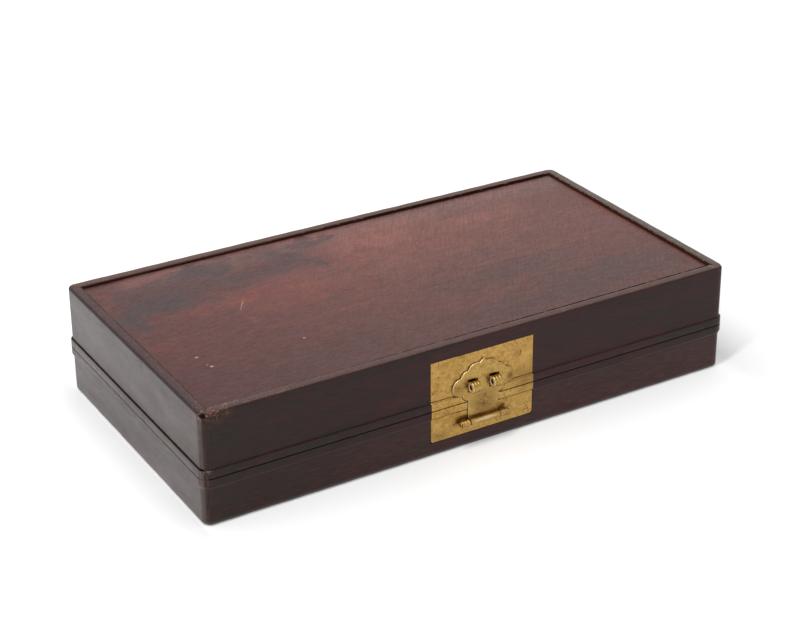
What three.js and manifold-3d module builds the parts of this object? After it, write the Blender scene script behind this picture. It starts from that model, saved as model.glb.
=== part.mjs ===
// Document box of dark hardwood with brass fittings, in millimetres, +Z up.
// The origin is the centre of the underside, +X runs along the length and the front looks along -Y.
import * as THREE from "three";
import { mergeVertices } from "three/addons/utils/BufferGeometryUtils.js";
import Module from "manifold-3d";

// Case: outer size over the walls, without the proud bands at the parting line
const LENGTH = 380;
const WIDTH = 200;
const HEIGHT = 74;
const BASE_HEIGHT = 31.6;
const PARTING_GAP = 0.4;
const BOARD = 7.6;
const CORNER_RADIUS = 5.5;
const TOP_ARRIS = 1.6;
const BOTTOM_ARRIS = 2.2;

// Proud bands each side of the parting line
const BAND_PROUD = 1.2;
const LID_BAND = 5.3;
const LID_BAND_EASE = 0.6;
const BASE_BAND = 4.8;
const BASE_BAND_SLOPE = 2.2;

// Panels held in grooves
const TOP_RECESS = 1.6;
const TOP_PANEL = 5;
const BOTTOM_PANEL = 5.5;
const TONGUE = 2;
const TONGUE_THICKNESS = 2.6;

// Liner strips that stand in the base and locate the lid
const LINER = 2.2;
const LINER_RISE = 3.5;
const LINER_EASE = 0.7;

// Battens under the top panel, placed from the case's ends
const BATTEN_WIDTH = 14;
const BATTEN_DEPTH = 7;
const BATTEN_INSET = 127;
const BATTEN_TENON = 2.5;

// Brass plates of the lock, let in flush with the front
const SHEET = 1.2;
const PLATE_WIDTH = 75;
const UPPER_PLATE_TOP = 64.5;
const LOWER_PLATE_BOTTOM = 9.2;
const PLATE_PIN_INSET = 5;
const PIN_RADIUS = 0.8;
const PIN_LENGTH = 5;

// Hasp: its pivot, the tongue, and the scalloped leaf above the pivot
const HASP_THICKNESS = 1.3;
const HASP_PIVOT_Z = 17.8;
const HASP_PIVOT_OUT = 2.7;
const HASP_KNUCKLE_RADIUS = 2.1;
const TONGUE_HALF_WIDTH = 10.9;
const HASP_REACH = 41.9;
const HASP_HALF_WIDTH = 22.4;

// Staples on the lid that the hasp drops over
const STAPLE_SPACING = 15.6;
const STAPLE_WIDTH = 6;
const STAPLE_RADIUS = 3.8;
const STAPLE_HOLE_RADIUS = 2.2;
const STAPLE_RISE = 10.5;
const STAPLE_OUT = 3.3;
const STAPLE_STEM = 3.2;
const STAPLE_GROOVE = 0.4;

// Eyes on the base that carry the hasp's pin
const EYE_WIDTH = 6;
const EYE_RADIUS = 2.3;
const EYE_STEM = 2.2;
const HASP_PIN_RADIUS = 0.9;
const HASP_PIN_HEAD = 0.9;
const HASP_PIN_HEAD_RADIUS = 1.7;

// Legs of staples and eyes, spread flat on the inside of the wall
const LEG_LENGTH = 6;
const LEG_THICKNESS = 0.9;

// Hinges at the back, placed from the case's ends
const HINGE_INSET = 75;
const HINGE_WIDTH = 42;
const HINGE_LEAF = 24;
const HINGE_RADIUS = 2.6;
const HINGE_PIN_RADIUS = 1.1;
const HINGE_CLEAR_OF_BAND = 0.4;
const NAIL_SPACING = 26;

// Clearances
const GAP = 0.3;
const SEAT = 0.1;
const SLOT_PLAY = 0.5;

// Fineness of round shapes
const CORNER_STEPS = 6;
const ROUND_STEPS = 24;
const PIN_STEPS = 12;
const ARC_STEPS = 6;

// Heights and planes worked out from the sizes above
const LID_BOTTOM = BASE_HEIGHT + PARTING_GAP;
const FRONT = -WIDTH / 2;
const BACK = WIDTH / 2;
const FRONT_INSIDE = FRONT + BOARD;
const TOP_PANEL_TOP = HEIGHT - TOP_RECESS;
const TOP_PANEL_BOTTOM = TOP_PANEL_TOP - TOP_PANEL;
const LINER_TOP = BASE_HEIGHT + LINER_RISE;
const BATTEN_PLACE = LENGTH / 2 - BATTEN_INSET;
const HINGE_PLACE = LENGTH / 2 - HINGE_INSET;
const HINGE_Y = BACK + BAND_PROUD + HINGE_CLEAR_OF_BAND;
const HINGE_Z = BASE_HEIGHT + PARTING_GAP / 2;
const STAPLE_Z = BASE_HEIGHT + STAPLE_RISE;
const HASP_PIVOT_Y = FRONT - HASP_PIVOT_OUT;
const FAR = 40;

const wasm = await Module();
wasm.setup();

const hardwood = () => new THREE.MeshStandardMaterial({ color: 0x33201d, roughness: 0.42, metalness: 0 });
const panelwood = () => new THREE.MeshStandardMaterial({ color: 0x5a3a36, roughness: 0.45, metalness: 0 });
const brass = () => new THREE.MeshStandardMaterial({ color: 0xa98238, roughness: 0.38, metalness: 1 });

const box = new THREE.Group();
box.name = "document_box";

// A three.js geometry as a solid that can be cut and joined.
function solidOf(geometry) {
  const bare = geometry.index ? geometry.toNonIndexed() : geometry.clone();
  bare.deleteAttribute("normal");
  bare.deleteAttribute("uv");
  const merged = mergeVertices(bare, 1e-4);
  const index = merged.index.array;
  const kept = [];
  for (let i = 0; i < index.length; i += 3) {
    const [a, b, c] = [index[i], index[i + 1], index[i + 2]];
    if (a !== b && b !== c && c !== a) kept.push(a, b, c);
  }
  return new wasm.Manifold(
    new wasm.Mesh({
      numProp: 3,
      vertProperties: merged.attributes.position.array,
      triVerts: new Uint32Array(kept),
    }),
  );
}

// Adds a finished solid to the box as a named mesh.
function addPiece(name, solid, material) {
  const mesh = solid.getMesh();
  const geometry = new THREE.BufferGeometry();
  geometry.setAttribute("position", new THREE.BufferAttribute(new Float32Array(mesh.vertProperties), 3));
  geometry.setIndex(new THREE.BufferAttribute(new Uint32Array(mesh.triVerts), 1));
  geometry.computeVertexNormals();
  const piece = new THREE.Mesh(geometry, material);
  piece.name = name;
  box.add(piece);
}

// A block between two opposite corners.
function block([x0, x1], [y0, y1], [z0, z1]) {
  const geometry = new THREE.BoxGeometry(x1 - x0, y1 - y0, z1 - z0);
  geometry.translate((x0 + x1) / 2, (y0 + y1) / 2, (z0 + z1) / 2);
  return solidOf(geometry);
}

// A span of a given half-width about a centre.
const about = (centre, half) => [centre - half, centre + half];

// A rod along X between two places, round about (y, z).
function rodAlongX([x0, x1], y, z, radius, steps = PIN_STEPS) {
  const geometry = new THREE.CylinderGeometry(radius, radius, x1 - x0, steps);
  geometry.rotateZ(Math.PI / 2);
  geometry.translate((x0 + x1) / 2, y, z);
  return solidOf(geometry);
}

// A rod along Y between two places, round about (x, z).
function rodAlongY(x, [y0, y1], z, radius, steps = PIN_STEPS) {
  const geometry = new THREE.CylinderGeometry(radius, radius, y1 - y0, steps);
  geometry.translate(x, (y0 + y1) / 2, z);
  return solidOf(geometry);
}

// A plate with an outline in X and Z, between two planes of Y.
function plateFacingFront(shape, [y0, y1]) {
  const geometry = new THREE.ExtrudeGeometry(shape, { depth: y1 - y0, bevelEnabled: false });
  geometry.rotateX(Math.PI / 2);
  geometry.translate(0, y1, 0);
  return solidOf(geometry);
}

// A prism with an outline in X and Y, between two heights.
function prism(points, [z0, z1]) {
  const shape = new THREE.Shape(points.map(([x, y]) => new THREE.Vector2(x, y)));
  const geometry = new THREE.ExtrudeGeometry(shape, { depth: z1 - z0, bevelEnabled: false });
  geometry.translate(0, 0, z0);
  return solidOf(geometry);
}

// A closed profile of [distance out from the wall, height], carried round the case's rounded rectangle.
// Where a point lies further in than the corner's radius, its corner is square.
function sweepRound(profile) {
  const corners = [
    [1, -1, -Math.PI / 2],
    [1, 1, 0],
    [-1, 1, Math.PI / 2],
    [-1, -1, Math.PI],
  ];
  const rings = [];
  for (const [sx, sy, start] of corners) {
    for (let i = 0; i <= CORNER_STEPS; i++) {
      const angle = start + ((Math.PI / 2) * i) / CORNER_STEPS;
      rings.push(
        profile.map(([out, z]) => {
          const radius = CORNER_RADIUS + out;
          const round = Math.max(radius, 0);
          const square = Math.min(radius, 0);
          return [
            sx * (LENGTH / 2 - CORNER_RADIUS) + round * Math.cos(angle) + square * sx,
            sy * (WIDTH / 2 - CORNER_RADIUS) + round * Math.sin(angle) + square * sy,
            z,
          ];
        }),
      );
    }
  }
  const positions = [];
  rings.forEach((ring, i) => {
    const next = rings[(i + 1) % rings.length];
    ring.forEach((a, j) => {
      const k = (j + 1) % ring.length;
      const [b, c, d] = [next[j], next[k], ring[k]];
      positions.push(...a, ...b, ...c, ...a, ...c, ...d);
    });
  });
  const geometry = new THREE.BufferGeometry();
  geometry.setAttribute("position", new THREE.BufferAttribute(new Float32Array(positions), 3));
  return solidOf(geometry);
}

// A quarter circle of profile points about a centre, from one angle to another in degrees.
function quarter([out, z], radius, from, to) {
  return Array.from({ length: ARC_STEPS + 1 }, (_, i) => {
    const angle = THREE.MathUtils.degToRad(from + ((to - from) * i) / ARC_STEPS);
    return [out + radius * Math.cos(angle), z + radius * Math.sin(angle)];
  });
}

// Cuts a ring into front, back, left and right boards that meet in mitres.
function mitred(ring) {
  const half = GAP / 2;
  const [x, y] = [LENGTH / 2 + FAR, WIDTH / 2 + FAR];
  const inner = LENGTH / 2 - WIDTH / 2;
  const tall = [-FAR, HEIGHT + FAR];
  const front = [
    [-x + half, -y],
    [x - half, -y],
    [inner - half, 0],
    [-inner + half, 0],
  ];
  const right = [
    [x, -y + half],
    [x, y - half],
    [inner, half],
    [inner, -half],
  ];
  const turned = (points) => points.map(([a, b]) => [-a, -b]);
  return {
    front: ring.intersect(prism(front, tall)),
    back: ring.intersect(prism(turned(front), tall)),
    left: ring.intersect(prism(turned(right), tall)),
    right: ring.intersect(prism(right, tall)),
  };
}

// Walls of the base: a proud band at the rim that slopes back to the wall, and a groove for the bottom.
function baseProfile() {
  const groove = (BOTTOM_PANEL - TONGUE_THICKNESS) / 2 - GAP;
  const grooveDepth = -BOARD + TONGUE + GAP;
  return [
    [-BOARD, 0],
    ...quarter([-BOTTOM_ARRIS, BOTTOM_ARRIS], BOTTOM_ARRIS, -90, 0),
    [0, BASE_HEIGHT - BASE_BAND - BASE_BAND_SLOPE],
    [BAND_PROUD, BASE_HEIGHT - BASE_BAND],
    [BAND_PROUD, BASE_HEIGHT],
    [-BOARD, BASE_HEIGHT],
    [-BOARD, BOTTOM_PANEL - groove],
    [grooveDepth, BOTTOM_PANEL - groove],
    [grooveDepth, groove],
    [-BOARD, groove],
  ];
}

// Walls of the lid: a proud band with a crisp upper step, a round top arris, and a groove for the top panel.
function lidProfile() {
  const bandTop = LID_BOTTOM + LID_BAND;
  const middle = (TOP_PANEL_TOP + TOP_PANEL_BOTTOM) / 2;
  const half = TONGUE_THICKNESS / 2 + GAP;
  const grooveDepth = -BOARD + TONGUE + GAP;
  return [
    [-BOARD, LID_BOTTOM],
    [BAND_PROUD, LID_BOTTOM],
    [BAND_PROUD, bandTop - LID_BAND_EASE],
    [BAND_PROUD - LID_BAND_EASE, bandTop],
    [0, bandTop],
    ...quarter([-TOP_ARRIS, HEIGHT - TOP_ARRIS], TOP_ARRIS, 0, 90),
    [-BOARD, HEIGHT],
    [-BOARD, middle + half],
    [grooveDepth, middle + half],
    [grooveDepth, middle - half],
    [-BOARD, middle - half],
  ];
}

// Liner strips: thin boards whose outer top edge is eased so that the lid finds its place.
function linerProfile() {
  const outer = -BOARD - GAP;
  return [
    [outer - LINER, BOTTOM_PANEL],
    [outer, BOTTOM_PANEL],
    [outer, LINER_TOP - LINER_EASE],
    [outer - LINER_EASE, LINER_TOP],
    [outer - LINER, LINER_TOP],
  ];
}

// A flat panel with a tongue round its edge, centred in its thickness.
function tonguedPanel([z0, z1]) {
  const [x, y] = [LENGTH / 2 - BOARD - GAP, WIDTH / 2 - BOARD - GAP];
  const middle = (z0 + z1) / 2;
  const field = block(about(0, x), about(0, y), [z0, z1]);
  return field.add(
    block(about(0, x + TONGUE), about(0, y + TONGUE), about(middle, TONGUE_THICKNESS / 2)),
  );
}

// A ring with two grooves round it, on an axis along X.
function groovedRing(x, y, z, width, radius, hole) {
  const half = width / 2;
  const grooves = [];
  for (const place of [width / 6, -width / 6]) {
    grooves.push(
      [radius, place + STAPLE_GROOVE],
      [radius - STAPLE_GROOVE, place],
      [radius, place - STAPLE_GROOVE],
    );
  }
  const section = [[hole, half], [radius, half], ...grooves, [radius, -half], [hole, -half], [hole, half]];
  const points = section.map(([r, h]) => new THREE.Vector2(r, h)).reverse();
  const geometry = new THREE.LatheGeometry(points, ROUND_STEPS);
  geometry.rotateZ(Math.PI / 2);
  geometry.translate(x, y, z);
  return solidOf(geometry);
}

// The stem and the two spread legs that hold a staple or an eye in the front wall.
function clinchedStem(x, z, width, height, from) {
  const inside = FRONT_INSIDE - SEAT;
  const stem = block(about(x, width / 2), [from, inside], about(z, height / 2));
  const legs = block(about(x, width / 2), [inside - LEG_THICKNESS, inside], about(z, LEG_LENGTH));
  return stem.add(legs);
}

// The room that a stem and its legs need in the wall.
function clinchedRoom(x, z, width, height) {
  const through = block(
    about(x, width / 2 + GAP),
    [FRONT - FAR, FRONT_INSIDE + FAR],
    about(z, height / 2 + GAP),
  );
  const recess = block(
    about(x, width / 2 + GAP),
    [FRONT_INSIDE - LEG_THICKNESS - SEAT - GAP, FRONT_INSIDE + GAP],
    about(z, LEG_LENGTH + GAP),
  );
  return through.add(recess);
}

// A circular arc from a shape's last point through one point to another, as a run of points.
function arcThrough([ax, ay], [bx, by], [cx, cy]) {
  const d = 2 * (ax * (by - cy) + bx * (cy - ay) + cx * (ay - by));
  const [a2, b2, c2] = [ax * ax + ay * ay, bx * bx + by * by, cx * cx + cy * cy];
  const ox = (a2 * (by - cy) + b2 * (cy - ay) + c2 * (ay - by)) / d;
  const oy = (a2 * (cx - bx) + b2 * (ax - cx) + c2 * (bx - ax)) / d;
  const radius = Math.hypot(ax - ox, ay - oy);
  const turn = (angle) => THREE.MathUtils.euclideanModulo(angle, 2 * Math.PI);
  const start = Math.atan2(ay - oy, ax - ox);
  const middle = turn(Math.atan2(by - oy, bx - ox) - start);
  const end = turn(Math.atan2(cy - oy, cx - ox) - start);
  const sweep = middle < end ? end : end - 2 * Math.PI;
  return Array.from({ length: ARC_STEPS }, (_, i) => {
    const angle = start + (sweep * (i + 1)) / ARC_STEPS;
    return [ox + radius * Math.cos(angle), oy + radius * Math.sin(angle)];
  });
}

// Half of the scalloped outline, from the pointed tip down to the tongue's foot.
// Places are shares of the half-width and of the reach above the pivot.
function haspHalfOutline() {
  const at = (across, up) => [across * HASP_HALF_WIDTH, HASP_PIVOT_Z + up * HASP_REACH];
  const tongue = TONGUE_HALF_WIDTH / HASP_HALF_WIDTH;
  const arcs = [
    [at(0.055, 0.952), at(0.135, 0.928)],
    [at(0.34, 0.92), at(0.5, 0.838)],
    [at(0.645, 0.808), at(0.741, 0.735)],
    [at(1, 0.592), at(0.888, 0.474)],
    [at(0.775, 0.452), at(0.68, 0.446)],
    [at(0.6, 0.37), at(tongue, 0.345)],
  ];
  let points = [at(0, 1)];
  for (const [through, end] of arcs) {
    points = points.concat(arcThrough(points[points.length - 1], through, end));
  }
  points.push([tongue * HASP_HALF_WIDTH, HASP_PIVOT_Z]);
  return points;
}

// The hasp's outline as a shape, grown by a margin across and upwards.
function haspShape(margin = 0) {
  const right = haspHalfOutline().map(([x, z]) => [x + (x > 0 ? margin : 0), z]);
  const left = right.slice(1).reverse().map(([x, z]) => [-x, z]);
  return new THREE.Shape([...right, ...left].map(([x, z]) => new THREE.Vector2(x, z)));
}

const eyePlace = TONGUE_HALF_WIDTH + GAP + EYE_WIDTH / 2;
const stemStart = HASP_PIVOT_Y + EYE_RADIUS / 2;
const stapleY = FRONT - STAPLE_OUT;
const stapleStemStart = stapleY + (STAPLE_RADIUS + STAPLE_HOLE_RADIUS) / 2;
const stapleRoom = 2 * Math.sqrt(STAPLE_RADIUS ** 2 - STAPLE_OUT ** 2);
const sides = { left: -1, right: 1 };

// The room in the front walls for the plates, the staples' stems and the eyes' stems.
const plateHalf = PLATE_WIDTH / 2 + SEAT;
const pocketY = [FRONT - FAR, FRONT + SHEET + SEAT];
const basePocket = block(about(0, plateHalf), pocketY, [LOWER_PLATE_BOTTOM - SEAT, BASE_HEIGHT + GAP]);
const lidPocket = block(about(0, plateHalf), pocketY, [LID_BOTTOM - GAP, UPPER_PLATE_TOP + SEAT]);
const eyeRooms = Object.values(sides).map((side) =>
  clinchedRoom(side * eyePlace, HASP_PIVOT_Z, EYE_WIDTH / 2, EYE_STEM),
);
const stapleRooms = Object.values(sides).map((side) =>
  clinchedRoom((side * STAPLE_SPACING) / 2, STAPLE_Z, STAPLE_WIDTH, Math.max(STAPLE_STEM, stapleRoom)),
);

// Places of the small flush pins of a plate, and of the nails of a hinge leaf.
function pinPlaces([z0, z1]) {
  const x = PLATE_WIDTH / 2 - PLATE_PIN_INSET;
  return [
    [-x, z0 + PLATE_PIN_INSET],
    [x, z0 + PLATE_PIN_INSET],
    [x, z1 - PLATE_PIN_INSET],
    [-x, z1 - PLATE_PIN_INSET],
  ];
}
const upperPins = pinPlaces([LID_BOTTOM + LID_BAND, UPPER_PLATE_TOP]);
const lowerPins = pinPlaces([LOWER_PLATE_BOTTOM, BASE_HEIGHT - BASE_BAND - BASE_BAND_SLOPE]);
const frontPin = ([x, z], grow = 0) =>
  rodAlongY(x, [FRONT - grow, FRONT + PIN_LENGTH + grow], z, PIN_RADIUS + grow);
const backPin = ([x, z], grow = 0) =>
  rodAlongY(x, [BACK - PIN_LENGTH - grow, BACK + grow], z, PIN_RADIUS + grow);
const nailHeights = {
  base: HINGE_Z - HINGE_LEAF / 2,
  lid: HINGE_Z + HINGE_LEAF / 2,
};

// Hinges: a pocket for both leaves, and leaves whose knuckles turn on one pin.
function hingePocket(x, part) {
  const reach = [HINGE_Z - HINGE_LEAF - SEAT, HINGE_Z + HINGE_LEAF + SEAT];
  const heights = part === "base" ? [reach[0], HINGE_Z] : [HINGE_Z, reach[1]];
  let pocket = block(about(x, HINGE_WIDTH / 2 + GAP), [BACK - SHEET - SEAT, BACK + FAR], heights);
  for (const nail of [-1, 1]) {
    pocket = pocket.add(backPin([x + (nail * NAIL_SPACING) / 2, nailHeights[part]], GAP / 2));
  }
  return pocket;
}

function hingeLeaf(x, part) {
  const up = part === "lid" ? 1 : -1;
  const third = HINGE_WIDTH / 3;
  const middle = about(x, third / 2);
  const outer = [
    [x - HINGE_WIDTH / 2, x - third / 2 - GAP],
    [x + third / 2 + GAP, x + HINGE_WIDTH / 2],
  ];
  const own = part === "lid" ? [middle] : outer;
  const others = part === "lid" ? outer : [middle];
  const edge = HINGE_Z + (up * PARTING_GAP) / 2;
  const span = [edge, HINGE_Z + up * HINGE_LEAF].sort((a, b) => a - b);
  let leaf = block(about(x, HINGE_WIDTH / 2), [BACK - SHEET, BACK], span);
  for (const place of others) {
    const notch = HINGE_RADIUS + GAP;
    leaf = leaf.subtract(
      block([place[0] - GAP, place[1] + GAP], [BACK - FAR, BACK + FAR], about(HINGE_Z, notch)),
    );
  }
  for (const place of own) {
    leaf = leaf.add(rodAlongX(place, HINGE_Y, HINGE_Z, HINGE_RADIUS, ROUND_STEPS));
  }
  leaf = leaf.subtract(
    rodAlongX(about(x, HINGE_WIDTH), HINGE_Y, HINGE_Z, HINGE_PIN_RADIUS + SEAT, PIN_STEPS),
  );
  for (const nail of [-1, 1]) {
    leaf = leaf.subtract(backPin([x + (nail * NAIL_SPACING) / 2, nailHeights[part]], GAP / 2));
  }
  return leaf;
}

// Wooden base
const base = mitred(sweepRound(baseProfile()));
base.front = base.front.subtract(basePocket);
for (const room of eyeRooms) base.front = base.front.subtract(room);
for (const pin of lowerPins) base.front = base.front.subtract(frontPin(pin, GAP / 2));
for (const side of Object.values(sides)) {
  base.back = base.back.subtract(hingePocket(side * HINGE_PLACE, "base"));
}
for (const [place, board] of Object.entries(base)) addPiece(`base_${place}_board`, board, hardwood());
addPiece("base_bottom_panel", tonguedPanel([0, BOTTOM_PANEL]), hardwood());
for (const [place, strip] of Object.entries(mitred(sweepRound(linerProfile())))) {
  addPiece(`base_liner_${place}`, strip, hardwood());
}

// Wooden lid
const lid = mitred(sweepRound(lidProfile()));
lid.front = lid.front.subtract(lidPocket);
for (const room of stapleRooms) lid.front = lid.front.subtract(room);
for (const pin of upperPins) lid.front = lid.front.subtract(frontPin(pin, GAP / 2));
for (const side of Object.values(sides)) {
  lid.back = lid.back.subtract(hingePocket(side * HINGE_PLACE, "lid"));
  const reach = WIDTH / 2 - BOARD + BATTEN_TENON + GAP;
  const mortise = block(
    about(side * BATTEN_PLACE, BATTEN_WIDTH / 2 + GAP),
    about(0, reach),
    [TOP_PANEL_BOTTOM - BATTEN_DEPTH - GAP, TOP_PANEL_BOTTOM],
  );
  lid.front = lid.front.subtract(mortise);
  lid.back = lid.back.subtract(mortise);
}
for (const [place, board] of Object.entries(lid)) addPiece(`lid_${place}_board`, board, hardwood());
addPiece("lid_top_panel", tonguedPanel([TOP_PANEL_BOTTOM, TOP_PANEL_TOP]), panelwood());
for (const [place, side] of Object.entries(sides)) {
  const batten = block(
    about(side * BATTEN_PLACE, BATTEN_WIDTH / 2),
    about(0, WIDTH / 2 - BOARD + BATTEN_TENON),
    [TOP_PANEL_BOTTOM - BATTEN_DEPTH, TOP_PANEL_BOTTOM - SEAT],
  );
  addPiece(`lid_batten_${place}`, batten, hardwood());
}

// Lock plates: flush sheets with proud strips that carry the bands across, open where the hasp lies
const haspRoom = plateFacingFront(haspShape(SLOT_PLAY), [FRONT - FAR, FRONT]);
const plateSheet = [FRONT, FRONT + SHEET];
function bandStrip(profile) {
  const strip = sweepRound([[-GAP, profile[0][1]], ...profile, [-GAP, profile[profile.length - 1][1]]]);
  const cut = block(about(0, PLATE_WIDTH / 2), [FRONT - FAR, FRONT + GAP], [0, HEIGHT]);
  return strip.intersect(cut).subtract(haspRoom);
}
let upperPlate = block(about(0, PLATE_WIDTH / 2), plateSheet, [LID_BOTTOM, UPPER_PLATE_TOP]);
upperPlate = upperPlate.add(bandStrip(lidProfile().slice(1, 5)));
for (const side of Object.values(sides)) {
  const slot = block(
    about((side * STAPLE_SPACING) / 2, STAPLE_WIDTH / 2 + GAP),
    [FRONT - FAR, FRONT + FAR],
    about(STAPLE_Z, stapleRoom / 2 + GAP),
  );
  upperPlate = upperPlate.subtract(slot);
}
for (const pin of upperPins) upperPlate = upperPlate.subtract(frontPin(pin, GAP / 2));
addPiece("lock_plate_upper", upperPlate, brass());

let lowerPlate = block(about(0, PLATE_WIDTH / 2), plateSheet, [LOWER_PLATE_BOTTOM, BASE_HEIGHT]);
const slopeFoot = ARC_STEPS + 2;
lowerPlate = lowerPlate.add(bandStrip(baseProfile().slice(slopeFoot, slopeFoot + 3)));
for (const side of Object.values(sides)) {
  const slot = block(
    about(side * eyePlace, EYE_WIDTH / 4 + GAP),
    [FRONT - FAR, FRONT + FAR],
    about(HASP_PIVOT_Z, EYE_STEM / 2 + GAP),
  );
  lowerPlate = lowerPlate.subtract(slot);
}
for (const pin of lowerPins) lowerPlate = lowerPlate.subtract(frontPin(pin, GAP / 2));
addPiece("lock_plate_lower", lowerPlate, brass());

upperPins.forEach((pin, i) => addPiece(`upper_plate_pin_${i + 1}`, frontPin(pin), brass()));
lowerPins.forEach((pin, i) => addPiece(`lower_plate_pin_${i + 1}`, frontPin(pin), brass()));

// Hasp: the scalloped leaf with its two slots, and the knuckle it turns on
let hasp = plateFacingFront(haspShape(), [FRONT - GAP - HASP_THICKNESS, FRONT - GAP]);
hasp = hasp.add(
  rodAlongX(about(0, TONGUE_HALF_WIDTH), HASP_PIVOT_Y, HASP_PIVOT_Z, HASP_KNUCKLE_RADIUS, ROUND_STEPS),
);
hasp = hasp.subtract(
  rodAlongX(about(0, FAR), HASP_PIVOT_Y, HASP_PIVOT_Z, HASP_PIN_RADIUS + SEAT, PIN_STEPS),
);
for (const side of Object.values(sides)) {
  const slot = block(
    about((side * STAPLE_SPACING) / 2, STAPLE_WIDTH / 2 + SLOT_PLAY),
    [FRONT - FAR, FRONT + FAR],
    about(STAPLE_Z, STAPLE_RADIUS + SLOT_PLAY),
  );
  hasp = hasp.subtract(slot);
}
addPiece("hasp", hasp, brass());

// Pin of the hasp, with a head at each end
const eyeEnd = eyePlace + EYE_WIDTH / 2 + SEAT;
const headEnd = eyeEnd + HASP_PIN_HEAD;
let haspPin = rodAlongX(about(0, headEnd), HASP_PIVOT_Y, HASP_PIVOT_Z, HASP_PIN_RADIUS, PIN_STEPS);
for (const head of [
  [-headEnd, -eyeEnd],
  [eyeEnd, headEnd],
]) {
  haspPin = haspPin.add(rodAlongX(head, HASP_PIVOT_Y, HASP_PIVOT_Z, HASP_PIN_HEAD_RADIUS, ROUND_STEPS));
}
addPiece("hasp_pin", haspPin, brass());

// Eyes on the base and staples on the lid
for (const [place, side] of Object.entries(sides)) {
  const hole = HASP_PIN_RADIUS + SEAT;
  const eye = groovedRing(side * eyePlace, HASP_PIVOT_Y, HASP_PIVOT_Z, EYE_WIDTH, EYE_RADIUS, hole);
  const stem = clinchedStem(side * eyePlace, HASP_PIVOT_Z, EYE_WIDTH / 2, EYE_STEM, stemStart);
  addPiece(`hasp_eye_${place}`, eye.add(stem), brass());
}
for (const [place, side] of Object.entries(sides)) {
  const x = (side * STAPLE_SPACING) / 2;
  const ring = groovedRing(x, stapleY, STAPLE_Z, STAPLE_WIDTH, STAPLE_RADIUS, STAPLE_HOLE_RADIUS);
  const stem = clinchedStem(x, STAPLE_Z, STAPLE_WIDTH, STAPLE_STEM, stapleStemStart);
  addPiece(`staple_${place}`, ring.add(stem), brass());
}

// Hinges
for (const [place, side] of Object.entries(sides)) {
  const x = side * HINGE_PLACE;
  for (const part of ["base", "lid"]) {
    addPiece(`hinge_${place}_${part}_leaf`, hingeLeaf(x, part), brass());
    [-1, 1].forEach((nail, i) => {
      const spot = [x + (nail * NAIL_SPACING) / 2, nailHeights[part]];
      addPiece(`hinge_${place}_${part}_nail_${i + 1}`, backPin(spot), brass());
    });
  }
  const pin = rodAlongX(about(x, HINGE_WIDTH / 2), HINGE_Y, HINGE_Z, HINGE_PIN_RADIUS, PIN_STEPS);
  addPiece(`hinge_${place}_pin`, pin, brass());
}

export default box;
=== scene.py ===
"""A low hardwood document box with a framed top panel and a brass lock.

Sizes are in millimetres and become metres where a mesh is filled. The box stands on z = 0,
its length runs along X and its lock faces -Y.
"""

import logging
from dataclasses import dataclass
from enum import Enum
from functools import cached_property, reduce
from typing import Iterable, Sequence, Union

import bmesh
import bpy
import numpy as np
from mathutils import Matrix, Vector
from mathutils.geometry import tessellate_polygon


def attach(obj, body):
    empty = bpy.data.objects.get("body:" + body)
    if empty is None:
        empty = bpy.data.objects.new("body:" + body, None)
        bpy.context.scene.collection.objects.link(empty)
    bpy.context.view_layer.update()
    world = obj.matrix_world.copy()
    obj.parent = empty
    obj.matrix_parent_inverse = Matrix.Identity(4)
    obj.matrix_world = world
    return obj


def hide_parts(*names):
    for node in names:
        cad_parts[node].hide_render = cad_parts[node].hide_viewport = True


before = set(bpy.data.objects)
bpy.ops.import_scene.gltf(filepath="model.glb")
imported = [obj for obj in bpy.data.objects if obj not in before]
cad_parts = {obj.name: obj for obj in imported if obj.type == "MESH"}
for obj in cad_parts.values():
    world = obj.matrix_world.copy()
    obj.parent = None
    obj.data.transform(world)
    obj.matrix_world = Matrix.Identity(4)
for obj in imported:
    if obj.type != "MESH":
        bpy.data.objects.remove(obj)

LOG = logging.getLogger("document_box")
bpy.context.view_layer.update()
METRE = 0.001
LENGTH = 380.0
WIDTH = 200.0
HEIGHT = 74.0
BOARD = 7.6
PARTING = 31.8
BELOW = -9.0
ABOVE = 99.0
TINY = 0.02
FAR = 900.0
WHITE = (1.0, 1.0, 1.0)
Triple = tuple[float, float, float]
Span = tuple[float, float]
Shape = tuple[np.ndarray, list]
Link = Union[float, Triple, "Value"]
Material = bpy.types.Material
Finishes = dict[str, Material]


class Grain(Enum):
    """Which way the fibres of a board run."""

    ALONG_X = 0
    ALONG_Y = 1

    def stretch(self, along: float, across: float) -> Triple:
        """The pattern's size on each axis, long with the fibres and short across them."""
        return tuple(along if axis == self.value else across for axis in range(3))


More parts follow.
